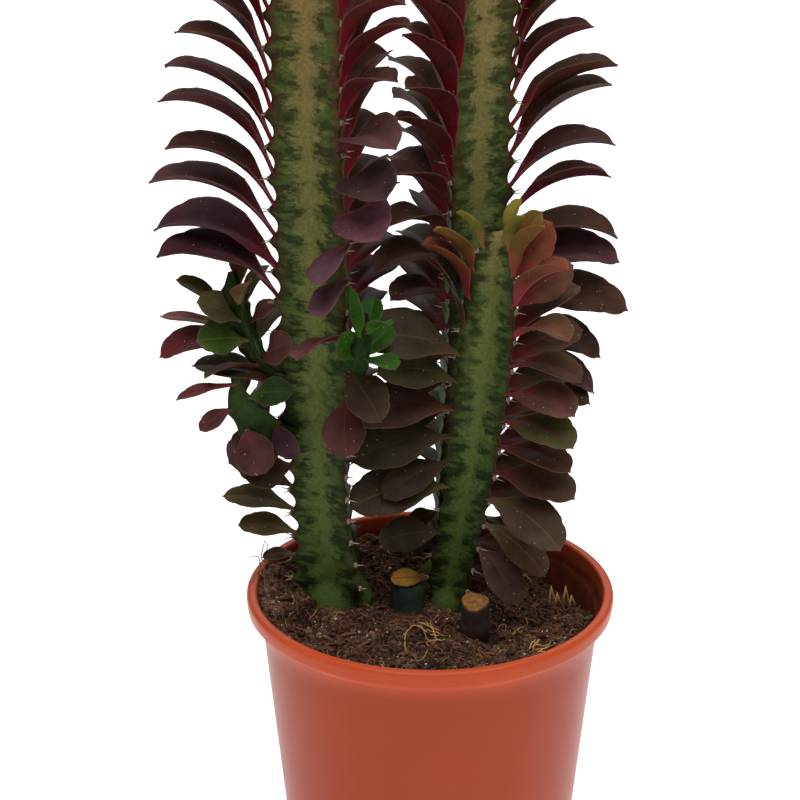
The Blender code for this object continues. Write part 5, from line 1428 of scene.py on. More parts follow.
def put_leaf(pile, leaf, name):
    """A closed fine blade: folded along a soft keel, its margins a little wavy, thin at the edges."""
    chance = random.Random(leaf["tooth"] * 31 + leaf["rib"] * 7 + int(leaf["hue"] * 9973))
    width = leaf["length"] * leaf["wide"]
    phase = chance.uniform(0.0, TURN)
    ripple = chance.uniform(0.0002, 0.0007) * leaf["length"] / 0.05
    top_tint, under_tint, rib_tint = leaf_colours(name, leaf)
    shade = chance.uniform(0.86, 1.14)
    top_tint = tuple(c * shade for c in top_tint)
    points, faces, tint, run, off, edge, upper_side, run_mm = [], [], [], [], [], [], [], []
    count = 2 * len(ACROSS)
    for s, (point, _, side, upper) in zip(FINE_STATIONS, leaf_curve(leaf, FINE_STATIONS)):
        half = max(0.5 * width * leaf_width(s), 0.0012 if s < 0.3 else 0.0)
        fold = math.radians(leaf["fold"]) * min(1.0, max(0.0, (s - 0.08) / 0.3))
        keel = 0.0007 * (1.0 - s) ** 0.7
        for face in (1.0, -1.0):
            for a in ACROSS if face > 0.0 else ACROSS[::-1]:
                lifted = (math.sqrt(a * a + 0.012) - 0.11) * half * math.sin(fold)
                sway = ripple * a * a * math.sin(phase + 11.0 * s + (2.0 if a > 0.0 else 0.0))
                sway *= min(1.0, 3.0 * s)
                cup = -0.0009 * (abs(a) ** 3) * (half / 0.010)
                thick = EDGE_THICK + (BLADE_THICK * (1.25 - 0.5 * s) - EDGE_THICK) * (1.0 - a * a)
                if face < 0.0:
                    thick += 2.0 * keel * math.exp(-((a * half / 0.0011) ** 2))
                else:
                    thick -= 0.6 * keel * math.exp(-((a * half / 0.0008) ** 2)) * min(1.0, 4.0 * s)
                spot = point + side * (a * half * math.cos(fold))
                spot += upper * (lifted + sway + cup + face * 0.5 * thick)
                points.append(spot)
                tint.append(top_tint if face > 0.0 else under_tint)
                run.append(s)
                run_mm.append(1000.0 * s * leaf["length"])
                off.append(1000.0 * abs(a) * half)
                edge.append(1000.0 * (1.0 - abs(a)) * half)
                upper_side.append(1.0 if face > 0.0 else 0.0)
    for i in range(len(FINE_STATIONS) - 1):
        for k in range(count):
            a, b = i * count + k, i * count + (k + 1) % count
            faces.append((a, a + count, b + count, b))
    faces.append(tuple(range(count)))
    last = (len(FINE_STATIONS) - 1) * count
    faces.append(tuple(last + k for k in reversed(range(count))))
    pile.put(
        points, faces, blade_tint=tint, rib_tint=rib_tint, run=run, from_rib=off, from_edge=edge,
        upper_side=upper_side, run_mm=run_mm,
    )


def put_spines(pile, shoot, chance):
    """A corky pad on each tooth with a pair of slightly curved spines; their sizes vary a little."""
    for index in range(len(shoot.teeth)):
        for rib in range(RIBS):
            tip, out, along = shoot.tooth_frame(index, rib)
            side = along.cross(out)
            pad = tip - out * 0.0010 + along * 0.0002
            put_blob(pile, pad, (side, out, along), (0.0011, 0.0012, 0.0015), run=0.0)
            for sign in (-1.0, 1.0):
                length = SPINE_LENGTH * chance.uniform(0.75, 1.12)
                aim = side * sign * chance.uniform(0.35, 0.68) + out * chance.uniform(0.80, 1.05)
                aim = (aim + along * chance.uniform(-0.12, 0.22)).normalized()
                bend = along * chance.uniform(-0.00035, 0.00035)
                foot = tip - out * 0.0011 + side * sign * 0.0004
                put_thorn(pile, foot, aim, bend, length + 0.0011, SPINE_RADIUS)


def put_thorn(pile, foot, aim, bend, length, radius):
    """A closed cone of five sides that bends a little."""
    across = aim.orthogonal().normalized()
    third = aim.cross(across)
    points, run = [], []
    for t in (0.0, 0.35, 0.7):
        centre = foot + aim * (length * t) + bend * t * t
        wide = radius * (1.0 - 0.85 * t)
        for k in range(5):
            angle = 2.0 * math.pi * k / 5
            points.append(centre + across * (wide * math.cos(angle)) + third * (wide * math.sin(angle)))
            run.append(0.2 + 0.8 * t)
    points.append(foot + aim * length + bend)
    run.append(1.0)
    faces = [(4, 3, 2, 1, 0)] + ring_faces(3, 5)
    faces += [(10 + k, 10 + (k + 1) % 5, 15) for k in range(5)]
    pile.put(points, faces, run=run)


def put_blob(pile, centre, axes, sizes, **values):
    """A small closed rounded lump."""
    points = [centre + axes[2] * sizes[2]]
    for lift in (0.62, 0.0, -0.62):
        wide = math.sqrt(1.0 - lift * lift)
        for k in range(7):
            angle = 2.0 * math.pi * k / 7
            flat = axes[0] * (sizes[0] * wide * math.cos(angle))
            flat = flat + axes[1] * (sizes[1] * wide * math.sin(angle))
            points.append(centre + flat + axes[2] * (sizes[2] * lift))
    points.append(centre - axes[2] * sizes[2])
    faces = []
    for k in range(7):
        n = (k + 1) % 7
        faces.append((0, 1 + k, 1 + n))
        faces += [(1 + k, 8 + k, 8 + n, 1 + n), (8 + k, 15 + k, 15 + n, 8 + n)]
        faces.append((15 + k, 22, 15 + n))
    pile.put(points, faces, **values)


GOLDEN = (1.0 + math.sqrt(5.0)) / 2.0
# A crumb's unbroken shape: an icosahedron with edges of 2, its faces every three corners an edge apart
CRUMB_CORNERS = [
    Vector(corner)
    for a in (-1.0, 1.0)
    for b in (-GOLDEN, GOLDEN)
    for corner in ((0.0, a, b), (a, b, 0.0), (b, 0.0, a))
]
CRUMB_RADIUS = 1.902
CRUMB_FACES = [
    three
    for three in itertools.combinations(range(12), 3)
    if all((CRUMB_CORNERS[i] - CRUMB_CORNERS[k]).length < 2.1 for i, k in itertools.combinations(three, 2))
]


def put_crumb(pile, centre, size, chance, flat, **values):
    """A broken lump: an icosahedron with its corners pushed about, turned at random."""
    angle = chance.uniform(0.0, TURN)
    axis = Vector((chance.gauss(0, 1), chance.gauss(0, 1), chance.gauss(0, 1)))
    turn = Matrix.Rotation(angle, 3, axis)
    stretch = Vector((chance.uniform(0.6, 1.25), chance.uniform(0.6, 1.1), chance.uniform(0.5, 1.0)))
    points = []
    for corner in CRUMB_CORNERS:
        spot = corner / CRUMB_RADIUS * size * chance.uniform(0.72, 1.18)
        spot = turn @ Vector((spot.x * stretch.x, spot.y * stretch.y, spot.z * stretch.z))
        spot.z *= flat
        points.append(centre + spot)
    pile.put(points, CRUMB_FACES, **values)


def put_strand(pile, path, radius, sides=4, **values):
    """A closed thin round strand along a path, thinner at its ends."""
    points = []
    count = len(path)
    for i, spot in enumerate(path):
        ahead = (path[min(i + 1, count - 1)] - path[max(i - 1, 0)]).normalized()
        across = ahead.cross(Vector((0.13, 0.21, 0.97))).normalized()
        third = ahead.cross(across)
        wide = radius * (1.0 - 0.6 * abs(2.0 * i / (count - 1) - 1.0) ** 4)
        for k in range(sides):
            angle = 2.0 * math.pi * k / sides
            points.append(spot + across * (wide * math.cos(angle)) + third * (wide * math.sin(angle)))
    faces = ring_faces(count, sides)
    faces.append(tuple(reversed(range(sides))))
    faces.append(tuple((count - 1) * sides + k for k in range(sides)))
    pile.put(points, faces, **values)


def clods(x, y):
    """Relief of the fine soil over the solid's top: clods 9 and 3 mm across, cracks, crumbs and hollows."""
    spot = Vector((x, y, 0.0))
    rough = 0.55 + 0.45 * noise.noise(spot * 45.0 + Vector((7.0, 2.0, 0.0)))
    big = 0.42 - noise.voronoi(spot * 112.0)[0][0]
    small = 0.42 - noise.voronoi(spot * 330.0 + Vector((1.0, 5.0, 0.0)))[0][0]
    z = rough * (0.0042 * big + 0.0017 * small)
    z += 0.0014 * noise.fractal(spot * 130.0, 0.7, 2.1, 4)
    z += 0.0009 * noise.noise(spot * 700.0)
    for dx, dy, depth, wide in SOIL_HOLLOWS:
        z -= depth * math.exp(-((x - dx) ** 2 + (y - dy) ** 2) / wide ** 2)
    return z


def ground(x, y):
    """Height of the fine soil, calmer close to the stems that stand in it."""
    away = min(math.hypot(x - p["path"][1][0], y - p["path"][1][1]) - p["peg"] for p in STANDING)
    calm = min(max(away / 0.006, 0.25), 1.0)
    bank = 0.0058 * math.exp(-((x + 0.072) ** 2 + (y - 0.020) ** 2) / 0.0007)
    return min(soil_height(x, y) + bank + calm * clods(x, y), RIM_HEIGHT - UNDER_RIM)


def soil_reach(z):
    """Inner radius of the pot at a height, shoulder and rim included."""
    keys = (
        (FLOOR_TOP, WALL_FOOT_RADIUS - WALL),
        (SHOULDER_HEIGHT, WALL_TOP_RADIUS - WALL),
        (SHOULDER_HEIGHT + 0.0030, RIM_INNER_RADIUS - 0.0006),
        (RIM_HEIGHT, RIM_INNER_RADIUS + 0.0006),
    )
    for (a, ra), (b, rb) in zip(keys, keys[1:]):
        if z <= b:
            return ra + (rb - ra) * (z - a) / (b - a)
    return keys[-1][1]


def arc(x, z, radius, first, last, count):
    """Points of an arc in the lathe's plane, angles in degrees."""
    spots = []
    for i in range(count + 1):
        angle = math.radians(first + (last - first) * i / count)
        spots.append((x + radius * math.cos(angle), z + radius * math.sin(angle)))
    return spots


def pot_profile(rim, height):
    """Outer side from the rim's top down to the foot, then the inside back up, with rounded edges."""
    lip = height - RIM_BAND
    outside = arc(rim - 0.0022, height - 0.0022, 0.0022, 90, 0, 6)
    outside += [(rim - 0.0002, height - 0.0050)]
    outside += arc(rim - 0.0014, lip + 0.0010, 0.0010, 0, -90, 4)
    outside += [
        (rim - 0.0024, lip + 0.0003),
        (rim - 0.0027, lip + 0.0036),
        (RIM_INNER_RADIUS + 0.0012, lip + 0.0034),
        (RIM_INNER_RADIUS + 0.0007, SHOULDER_HEIGHT + 0.0022),
        (RIM_INNER_RADIUS + 0.0003, SHOULDER_HEIGHT + 0.0009),
        (WALL_TOP_RADIUS + 0.0006, SHOULDER_HEIGHT - 0.0001),
        (WALL_TOP_RADIUS, SHOULDER_HEIGHT - 0.0010),
    ]
    for i in range(1, 12):
        t = i / 12.0
        drop = SHOULDER_HEIGHT - 0.0010
        outside.append(
            (WALL_TOP_RADIUS + (WALL_FOOT_RADIUS - WALL_TOP_RADIUS) * t, drop + (0.0042 - drop) * t),
        )
    outside += arc(WALL_FOOT_RADIUS - 0.0032, 0.0030, 0.0030, 0, -90, 5)
    outside += [
        (FOOT_RING[0], 0.0),
        (FOOT_RING[0] - 0.0012, 0.0006),
        (FOOT_RING[0] - 0.0016, FLOOR_UNDER),
        (CENTRE_PAD_RADIUS + 0.0016, FLOOR_UNDER),
        (CENTRE_PAD_RADIUS + 0.0010, 0.0006),
        (CENTRE_PAD_RADIUS, 0.0),
        (0.0, 0.0),
    ]
    inside = [
        (0.0, FLOOR_TOP),
        (WALL_FOOT_RADIUS - WALL - 0.0020, FLOOR_TOP),
        (WALL_FOOT_RADIUS - WALL - 0.0003, FLOOR_TOP + 0.0018),
        (WALL_TOP_RADIUS - WALL, SHOULDER_HEIGHT),
        (WALL_TOP_RADIUS - WALL + 0.0008, SHOULDER_HEIGHT + 0.0008),
        (RIM_INNER_RADIUS - 0.0006, SHOULDER_HEIGHT + 0.0030),
    ]
    inside += arc(RIM_INNER_RADIUS + 0.0016, height - 0.0014, 0.0014, 180, 90, 4)
    return outside, inside


GROWN = {}


def grown_plant():
    """The shoots and the leaves that stay, found once by the same rules as the solid parts."""
    if not GROWN:
        shoots = [Shoot(plan) for plan in PLANS]
        fixed = [(node, i, tree_of(shoot.body())) for i, (node, shoot) in enumerate(zip(NODES, shoots))]
        fixed.append(("soil", None, soil_tree()))
        fixed.append(("pot", None, rim_tree()))
        leaves = [stub_leaf(shoots[-1], len(shoots) - 1)]
        for index, shoot in enumerate(shoots):
            leaves += plan_leaves(shoot, index)
        GROWN["shoots"] = shoots
        GROWN["leaves"] = clear_leaves(leaves, NODES, fixed)
        GROWN["looks"] = {}
    return GROWN["shoots"], GROWN["leaves"]


def look(make, *values):
    """A material made once and shared by the pieces that have it."""
    grown_plant()
    if make.__name__ not in GROWN["looks"]:
        GROWN["looks"][make.__name__] = make(*values)
    return GROWN["looks"][make.__name__]


def build_shoots(node, slot, settings):
    """Skin, leaves and spines of one stem with its side shoots."""
    shoots, leaves = grown_plant()
    own = [i for i, name in enumerate(NODES) if name == node]
    skin, blades, spines = Pile(), Pile(), Pile()
    chance = random.Random(PLANS[own[0]]["seed"] + 500)
    for i in own:
        put_skin(skin, shoots[i])
        if PLANS[i]["spiny"]:
            put_spines(spines, shoots[i], chance)
    for leaf in leaves:
        if leaf["shoot"] in own:
            put_leaf(blades, leaf, PLANS[leaf["shoot"]]["name"])
    skin.piece(node + "_skin", look(milk_tree_skin, settings), slot, node)
    if blades.points:
        blades.piece(node + "_leaves", look(milk_tree_blade, settings), slot, node)
    if spines.points:
        spines.piece(node + "_spines", look(milk_tree_spine, settings), slot, node)


def colour_property(name, description, hex_colour):
    """A colour setting that starts at an sRGB hex colour."""
    return bpy.props.FloatVectorProperty(
        name=name, description=description, subtype="COLOR", size=3, default=linear(hex_colour)
    )


class PotSettings(bpy.types.PropertyGroup):
    """Sizes and colours of the nursery pot."""

    rim: bpy.props.FloatProperty(
        name="Rim radius", description="Outer radius of the rim", default=RIM_RADIUS, unit="LENGTH", min=0.05)
    height: bpy.props.FloatProperty(
        name="Height", description="Height over the floor", default=RIM_HEIGHT, unit="LENGTH", min=0.05)
    colour: colour_property("Colour", "Plastic as moulded", "#BC4C28")
    shade: colour_property("Shade", "Darker flow marks", "#AC4322")
    roughness: bpy.props.FloatProperty(
        name="Roughness", description="Gloss of the plastic", default=0.31, min=0.0, max=1.0)


class SoilSettings(bpy.types.PropertyGroup):
    """Colours of the peat and amounts of loose bits."""

    dark: colour_property("Damp peat", "Colour of damp crumbs", "#543A28")
    dry: colour_property("Dry peat", "Colour of dry crumbs", "#8E6852")
    crumbs: bpy.props.IntProperty(
        name="Crumbs", description="Loose peat and bark crumbs", default=2600, min=0)
    grains: bpy.props.IntProperty(
        name="Perlite grains", description="White perlite grains", default=420, min=0)
    fibres: bpy.props.IntProperty(
        name="Fibres", description="Root and coir fibres", default=1700, min=0)


class PlantSettings(bpy.types.PropertyGroup):
    """Gloss and colours of stems, leaves and spines."""

    roughness: bpy.props.FloatProperty(
        name="Roughness", description="Gloss of the waxy skin and leaves", default=0.40, min=0.0, max=1.0)
    spine_colour: colour_property("Spines", "Colour of the spines", "#B89C90")


class StageSettings(bpy.types.PropertyGroup):
    """Floor and light."""

    card: colour_property("Floor", "Colour of the backdrop card", "#FAFAFA")
    light: bpy.props.FloatProperty(
        name="Light", description="Strength of the white surround", default=0.18, min=0.0)
    glow: bpy.props.FloatProperty(
        name="Floor glow", description="Light that comes through the card from below", default=0.50, min=0.0)


class MILKTREE_OT_pot(bpy.types.Operator):
    """Lathe the nursery pot and drill its drainage holes."""

    bl_idname = "milk_tree.pot"
    bl_label = "Pot"

    def execute(self, context):
        settings = context.scene.milk_tree_pot
        outside, inside = pot_profile(settings.rim, settings.height)
        spots = [(r, 0.0, z) for r, z in outside + inside]
        edges = [(i, i + 1) for i in range(len(spots) - 1) if i != len(outside) - 1] + [(len(spots) - 1, 0)]
        mesh = bpy.data.meshes.new("pot_moulded")
        mesh.from_pydata(spots, edges, [])
        pot = bpy.data.objects.new("pot_moulded", mesh)
        context.scene.collection.objects.link(pot)
        lathe = pot.modifiers.new("lathe", "SCREW")
        lathe.steps = 180
        lathe.render_steps = 180
        lathe.use_merge_vertices = True
        lathe.merge_threshold = 0.00001
        lathe.use_normal_calculate = True
        lathe.use_smooth_shade = True
        drills = bpy.data.collections.new("drain_drills")
        context.scene.collection.children.link(drills)
        for k in range(DRAIN_HOLES):
            angle = 2.0 * math.pi * (k + 0.5) / DRAIN_HOLES
            bm = bmesh.new()
            radius = DRAIN_HOLE_RADIUS
            bmesh.ops.create_cone(bm, cap_ends=True, segments=32, radius1=radius, radius2=radius, depth=0.012)
            drill_mesh = bpy.data.meshes.new("drain_drill")
            bm.to_mesh(drill_mesh)
            bm.free()
            drill = bpy.data.objects.new("drain_drill", drill_mesh)
            drill.location = polar(DRAIN_RING_RADIUS, angle, 0.004)
            drills.objects.link(drill)
        holes = pot.modifiers.new("drain_holes", "BOOLEAN")
        holes.operation = "DIFFERENCE"
        holes.operand_type = "COLLECTION"
        holes.collection = drills
        holes.solver = "EXACT"
        context.view_layer.update()
        graph = context.evaluated_depsgraph_get()
        final = bpy.data.meshes.new_from_object(pot.evaluated_get(graph), depsgraph=graph)
        pot.modifiers.clear()
        pot.data = final
        for drill in list(drills.objects):
            bpy.data.objects.remove(drill)
        bpy.data.collections.remove(drills)
        if len(final.polygons) < 1000:
            raise RuntimeError("the pot's lathe gave no wall")
        final.polygons.foreach_set("use_smooth", [True] * len(final.polygons))
        final.set_sharp_from_angle(angle=math.radians(50.0))
        # the inside of the wall, where the pot's material paints shade
        inner_shade = final.attributes.new("inside", "FLOAT", "POINT")
        inner_shade.data.foreach_set("value", [self.inner(v.co, settings.height) for v in final.vertices])
        settle(pot, look(injection_moulded_polypropylene, settings), "pot_plastic", "pot")
        return {"FINISHED"}

    def inner(self, spot, height):
        """1 on the inside of the wall, fading out up the rim's inner side."""
        r = math.hypot(spot.x, spot.y)
        middle = soil_reach(spot.z) + 0.5 * WALL
        if spot.z < FLOOR_TOP - 0.0002 or r > middle:
            return 0.0
        return min(1.0, max(0.0, (height - 0.0012 - spot.z) / 0.003))


class MILKTREE_OT_soil(bpy.types.Operator):
    """Fill the pot with peat, level and crumbly, up to the wall."""

    bl_idname = "milk_tree.soil"
    bl_label = "Soil"

    def execute(self, context):
        settings = context.scene.milk_tree_soil
        spokes, rings = 360, 112
        points = [Vector((0.0, 0.0, ground(0.0, 0.0)))]
        for i in range(1, rings + 1):
            for k in range(spokes):
                angle = 2.0 * math.pi * k / spokes
                r = (WALL_TOP_RADIUS - WALL) * i / rings
                z = ground(r * math.cos(angle), r * math.sin(angle))
                if i == rings:
                    r = soil_reach(z) + 0.0003
                points.append(polar(r, angle, z))
        # down along the wall, in past the shoulder
        for level in (SHOULDER_HEIGHT + 0.0030, SHOULDER_HEIGHT - 0.0004, 0.125, 0.095):
            for k in range(spokes):
                angle = 2.0 * math.pi * k / spokes
                z = min(level, points[-spokes].z - 0.0004)
                r = soil_reach(z) + 0.0001
                points.append(polar(r, angle, z))
        points.append(Vector((0.0, 0.0, 0.094)))
        faces = [(0, 1 + k, 1 + (k + 1) % spokes) for k in range(spokes)]
        for i in range(rings + 3):
            for k in range(spokes):
                a, b = 1 + i * spokes + k, 1 + i * spokes + (k + 1) % spokes
                faces.append((a, a + spokes, b + spokes, b))
        low = 1 + (rings + 3) * spokes
        faces += [(len(points) - 1, low + (k + 1) % spokes, low + k) for k in range(spokes)]
        # how far a point lies below the coarse soil, for the painted shade down between the clods
        hollow = [0.35 - (p.z - soil_height(p.x, p.y)) / 0.0034 for p in points]
        soil = Pile()
        soil.put(points, faces, hollow=hollow)
        soil.piece("soil_peat", look(damp_peat, settings), "peat_soil", "soil")
        return {"FINISHED"}


def free_spot(chance, reach, keep=0.0006):
    """A random place on the soil, clear of the stems that stand in it."""
    while True:
        r = reach * math.sqrt(chance.random())
        angle = chance.uniform(0.0, 2.0 * math.pi)
        x, y = r * math.cos(angle), r * math.sin(angle)
        feet = [(plan["path"][1][0], plan["path"][1][1], plan["peg"]) for plan in STANDING]
        feet.append((CUT_STUB_POINT[0], CUT_STUB_POINT[1], CUT_STUB_RADIUS))
        if all(math.hypot(x - fx, y - fy) > foot + keep for fx, fy, foot in feet):
            return x, y


class MILKTREE_OT_soil_bits(bpy.types.Operator):
    """Scatter crumbs, perlite, fibres and straw on the soil."""

    bl_idname = "milk_tree.soil_bits"
    bl_label = "Loose bits"

    def execute(self, context):
        settings = context.scene.milk_tree_soil
        chance = random.Random(71)
        crumbs = Pile()
        browns = [linear(c) for c in ("#2A1A12", "#3A261A", "#4C3424", "#5E4230", "#745240", "#42281E")]
        for _ in range(settings.crumbs):
            size = 0.0005 + 0.0021 * chance.random() ** 3.2
            x, y = free_spot(chance, 0.0752)
            spot = Vector((x, y, ground(x, y) + size * chance.uniform(-0.2, 0.5)))
            tint = blend(chance.choice(browns), chance.choice(browns), chance.random())
            put_crumb(crumbs, spot, size, chance, 0.8, bit_tint=tint)
        crumbs.piece("peat_crumbs", loose_bit("peat_crumb", 900.0, 0.92, 0.4), "peat_soil", smooth=False)
        grains = Pile()
        for _ in range(settings.grains):
            size = 0.00030 + 0.00065 * chance.random() ** 2.2
            x, y = free_spot(chance, 0.0745)
            if y > -0.01 and chance.random() < 0.55:
                continue
            spot = Vector((x, y, ground(x, y) + size * 0.4))
            tint = blend(linear("#E8E2D8"), linear("#A89C8C"), chance.random() ** 2)
            put_crumb(grains, spot, size, chance, 0.85, bit_tint=tint)
        grains.piece(
            "perlite_grains", loose_bit("expanded_perlite", 1500.0, 0.8, 0.12), "peat_soil", smooth=False,
        )
        fibres = Pile()
        dull = [linear(c) for c in ("#6A4432", "#7E4A34", "#4A2E20", "#80603F", "#8A4E38", "#9C7C54")]
        for _ in range(settings.fibres):
            x, y = free_spot(chance, 0.0735, 0.001)
            length = 0.003 + 0.010 * chance.random() ** 1.6
            path = self.crawl(chance, x, y, length, 0.0005 + 0.0018 * chance.random() ** 2)
            radius = 0.00010 + 0.00030 * chance.random() ** 4
            tint = blend(chance.choice(dull), chance.choice(dull), chance.random())
            put_strand(fibres, path, radius, 3, bit_tint=tint)
        fibres.piece("root_fibres", loose_bit("root_fibre", 2000.0, 0.85), "peat_soil")
        self.straws(chance).piece("straw_bits", loose_bit("dry_straw", 1400.0, 0.65), "peat_soil")
        return {"FINISHED"}

    def crawl(self, chance, x, y, length, rise):
        """A fibre's path over the soil, wandering, a little off it in the middle."""
        steps = 9
        heading = chance.uniform(0.0, 2.0 * math.pi)
        turn = chance.gauss(0.0, 0.28)
        path = []
        for i in range(steps):
            t = i / (steps - 1)
            lift = rise * math.sin(math.pi * t) + 0.0001
            path.append(Vector((x, y, ground(x, y) + lift)))
            heading += turn + chance.gauss(0.0, 0.18)
            nx = x + math.cos(heading) * length / steps
            ny = y + math.sin(heading) * length / steps
            if math.hypot(nx, ny) < BITS_REACH:
                x, y = nx, ny
            else:
                heading += 2.4
        return path

    def straws(self, chance):
        """The straws that stand out: a ring, a bundle, a zigzag at the back right and twigs over the rim."""
        pile = Pile()
        straw, pale, brown = linear("#B58A4E"), linear("#CBA46A"), linear("#6A4A34")
        # fibre ring at the front
        ring = []
        for i in range(23):
            angle = 0.4 + 5.6 * i / 22.0
            x, y = -0.0060 + 0.0054 * math.cos(angle), -0.0350 + 0.0125 * math.sin(angle)
            ring.append(Vector((x, y, ground(x, y) + 0.0012 + 0.0016 * math.sin(angle + 0.6))))
        put_strand(pile, ring, 0.00036, 5, bit_tint=straw)
        # loose bundles: a large one at the front left, small ones by the ring and at the front right
        bundles = ((-0.0215, -0.0610, 15, 2.6), (-0.0010, -0.0240, 6, 2.9), (0.0500, -0.0380, 8, 0.5))
        for bx, by, count, aim in bundles:
            for _ in range(count):
                x, y = bx + chance.gauss(0.0, 0.0024), by + chance.gauss(0.0, 0.0018)
                heading = chance.gauss(aim, 0.45)
                length = chance.uniform(0.005, 0.011)
                path = []
                for k in range(6):
                    t = k / 5.0
                    px = x + math.cos(heading) * length * (t - 0.5)
                    py = y + math.sin(heading) * length * (t - 0.5)
                    lift = 0.0009 + 0.0014 * t + 0.0008 * chance.random()
                    path.append(Vector((px, py, ground(px, py) + lift)))
                tint = blend(straw, pale, chance.random())
                put_strand(pile, path, chance.uniform(0.00026, 0.00050), 4, bit_tint=tint)
        # zigzag of split straw standing at the back right
        base = Vector((0.0625, 0.0235, 0.0))
        folds = ((-0.0056, 0.0120), (-0.0028, 0.0085), (0.0012, 0.0115), (0.0040, 0.0080))
        for k, (dx, top) in enumerate(folds):
            foot = base + Vector((dx - 0.0008, -0.001 * (k % 2), 0.0))
            foot.z = ground(foot.x, foot.y) - 0.0006
            tip = foot + Vector((0.0015, 0.0012, top))
            far = base + Vector((dx + 0.0030, 0.0004, 0.0))
            far.z = ground(far.x, far.y) - 0.0004
            put_strand(pile, [foot, foot.lerp(tip, 0.5), tip], 0.00062, 5, bit_tint=pale)
            put_strand(
                pile, [tip - Vector((0, 0, 0.0004)), tip.lerp(far, 0.55), far], 0.00052, 5, bit_tint=straw,
            )
        # short straws, thicker, here and there
        for _ in range(44):
            x, y = free_spot(chance, 0.070, 0.002)
            path = self.crawl(chance, x, y, chance.uniform(0.004, 0.010), 0.0014)
            tint = blend(straw, brown, chance.random())
            put_strand(pile, path, chance.uniform(0.00025, 0.00050), 4, bit_tint=tint)
        # bark splinters, thick and straighter, red brown to black
        splinters = [linear(c) for c in ("#5A3222", "#3A2016", "#26160F", "#784A32")]
        for _ in range(120):
            x, y = free_spot(chance, 0.070, 0.002)
            heading = chance.uniform(0.0, 2.0 * math.pi)
            length = chance.uniform(0.004, 0.012)
            tilt = chance.gauss(0.0, 0.16)
            path = []
            for k in range(5):
                t = k / 4.0 - 0.5
                px, py = x + math.cos(heading) * length * t, y + math.sin(heading) * length * t
                path.append(
                    Vector((px, py, ground(x, y) + 0.0006 + length * t * tilt + 0.0003 * chance.random())),
                )
            tint = blend(chance.choice(splinters), chance.choice(splinters), chance.random())
            put_strand(pile, path, chance.uniform(0.00035, 0.00085), 4, bit_tint=tint)
        # twigs over the rim at the left
        twigs = (
            (0.0120, 0.10, 0.0030), (0.0100, -0.12, 0.0060), (0.0080, 0.28, 0.0012), (0.0070, 0.02, 0.0085),
        )
        for reach, spin, rise in twigs:
            angle = math.radians(164.0) + spin * 0.7
            path = []
            for k in range(8):
                t = k / 7.0
                r = 0.0765 + reach * t
                height = max(ground(0.076 * math.cos(angle), 0.076 * math.sin(angle)), 0.144) + 0.0012
                arch = height + (RIM_HEIGHT + 0.0006 - height) * min(1.0, 2.2 * t) + rise * t * t
                turn = angle + 0.10 * math.sin(5.0 * t + 9.0 * spin)
                path.append(polar(r, turn, arch))
            put_strand(pile, path, 0.00030, 5, bit_tint=blend(straw, brown, 0.35))
        return pile


class MILKTREE_OT_left_stem(bpy.types.Operator):
    """Grow the tall left stem and its side shoots."""

    bl_idname = "milk_tree.left_stem"
    bl_label = "Left stem"

    def execute(self, context):
        build_shoots("left_stem", "stem_green", context.scene.milk_tree_plant)
        return {"FINISHED"}


class MILKTREE_OT_rear_stem(bpy.types.Operator):
    """Grow the tall rear stem."""

    bl_idname = "milk_tree.rear_stem"
    bl_label = "Rear stem"

    def execute(self, context):
        build_shoots("rear_stem", "stem_green", context.scene.milk_tree_plant)
        return {"FINISHED"}


class MILKTREE_OT_front_stem(bpy.types.Operator):
    """Grow the short front stem."""

    bl_idname = "milk_tree.front_stem"
    bl_label = "Front stem"

    def execute(self, context):
        build_shoots("front_stem", "stem_green", context.scene.milk_tree_plant)
        return {"FINISHED"}


class MILKTREE_OT_leaf_stub(bpy.types.Operator):
    """Grow the green stub with its one yellow-orange leaf."""

    bl_idname = "milk_tree.leaf_stub"
    bl_label = "Leaf stub"

    def execute(self, context):
        build_shoots("leaf_stub", "stub_green", context.scene.milk_tree_plant)
        return {"FINISHED"}


class MILKTREE_OT_cut_stub(bpy.types.Operator):
    """Shape the dead stump with its sawn, dried face."""

    bl_idname = "milk_tree.cut_stub"
    bl_label = "Cut stub"

    def execute(self, context):
        x, y, low = CUT_STUB_POINT
        sides = 48
        neck, high = CUT_STUB_NECK, CUT_STUB_TOP
        levels = [
            (1.0, low + 0.010), (1.0, neck - 0.0006), (1.10, neck + 0.0018), (0.98, neck + 0.0040),
            (0.95, neck + 0.0065), (0.96, high - 0.0016), (0.93, high - 0.0004), (0.84, high),
            (0.74, high - 0.0005), (0.45, high - 0.0008), (0.20, high - 0.0007),
        ]
        lean = math.tan(math.radians(CUT_STUB_TILT))
        points, face = [], []
        for i, (wide, z) in enumerate(levels):
            for k in range(sides):
                angle = 2.0 * math.pi * k / sides
                above = max(0.0, z - neck) / (high - neck)
                r = CUT_STUB_RADIUS * wide * (1.0 + 0.08 * above * math.sin(3.0 * angle + 0.6))
                spot = polar(r, angle, z)
                if i < 7:
                    r *= 1.0 + 0.05 * noise.noise(Vector((spot.x, spot.y, 0.4 * spot.z)) * 700.0)
                spot = polar(r, angle, z + lean * r * math.sin(angle) * above)
                spot += Vector((x, y, 0.0003 * noise.noise(spot * 500.0) if i > 5 else 0.0))
                points.append(spot)
                face.append(0.0 if i < 6 else 0.35 if i == 6 else 1.0)
        points += [Vector((x, y, low + 0.010)), Vector((x, y, high - 0.0007))]
        face += [0.0, 1.0]
        faces = ring_faces(len(levels), sides)
        last = (len(levels) - 1) * sides
        for k in range(sides):
            faces.append((len(points) - 2, (k + 1) % sides, k))
            faces.append((len(points) - 1, last + k, last + (k + 1) % sides))
        stump = Pile()
        stump.put(points, faces, cut_face=face)
        stump.piece("cut_stub_bark", look(dead_stem_bark), "dead_stem", "cut_stub")
        return {"FINISHED"}


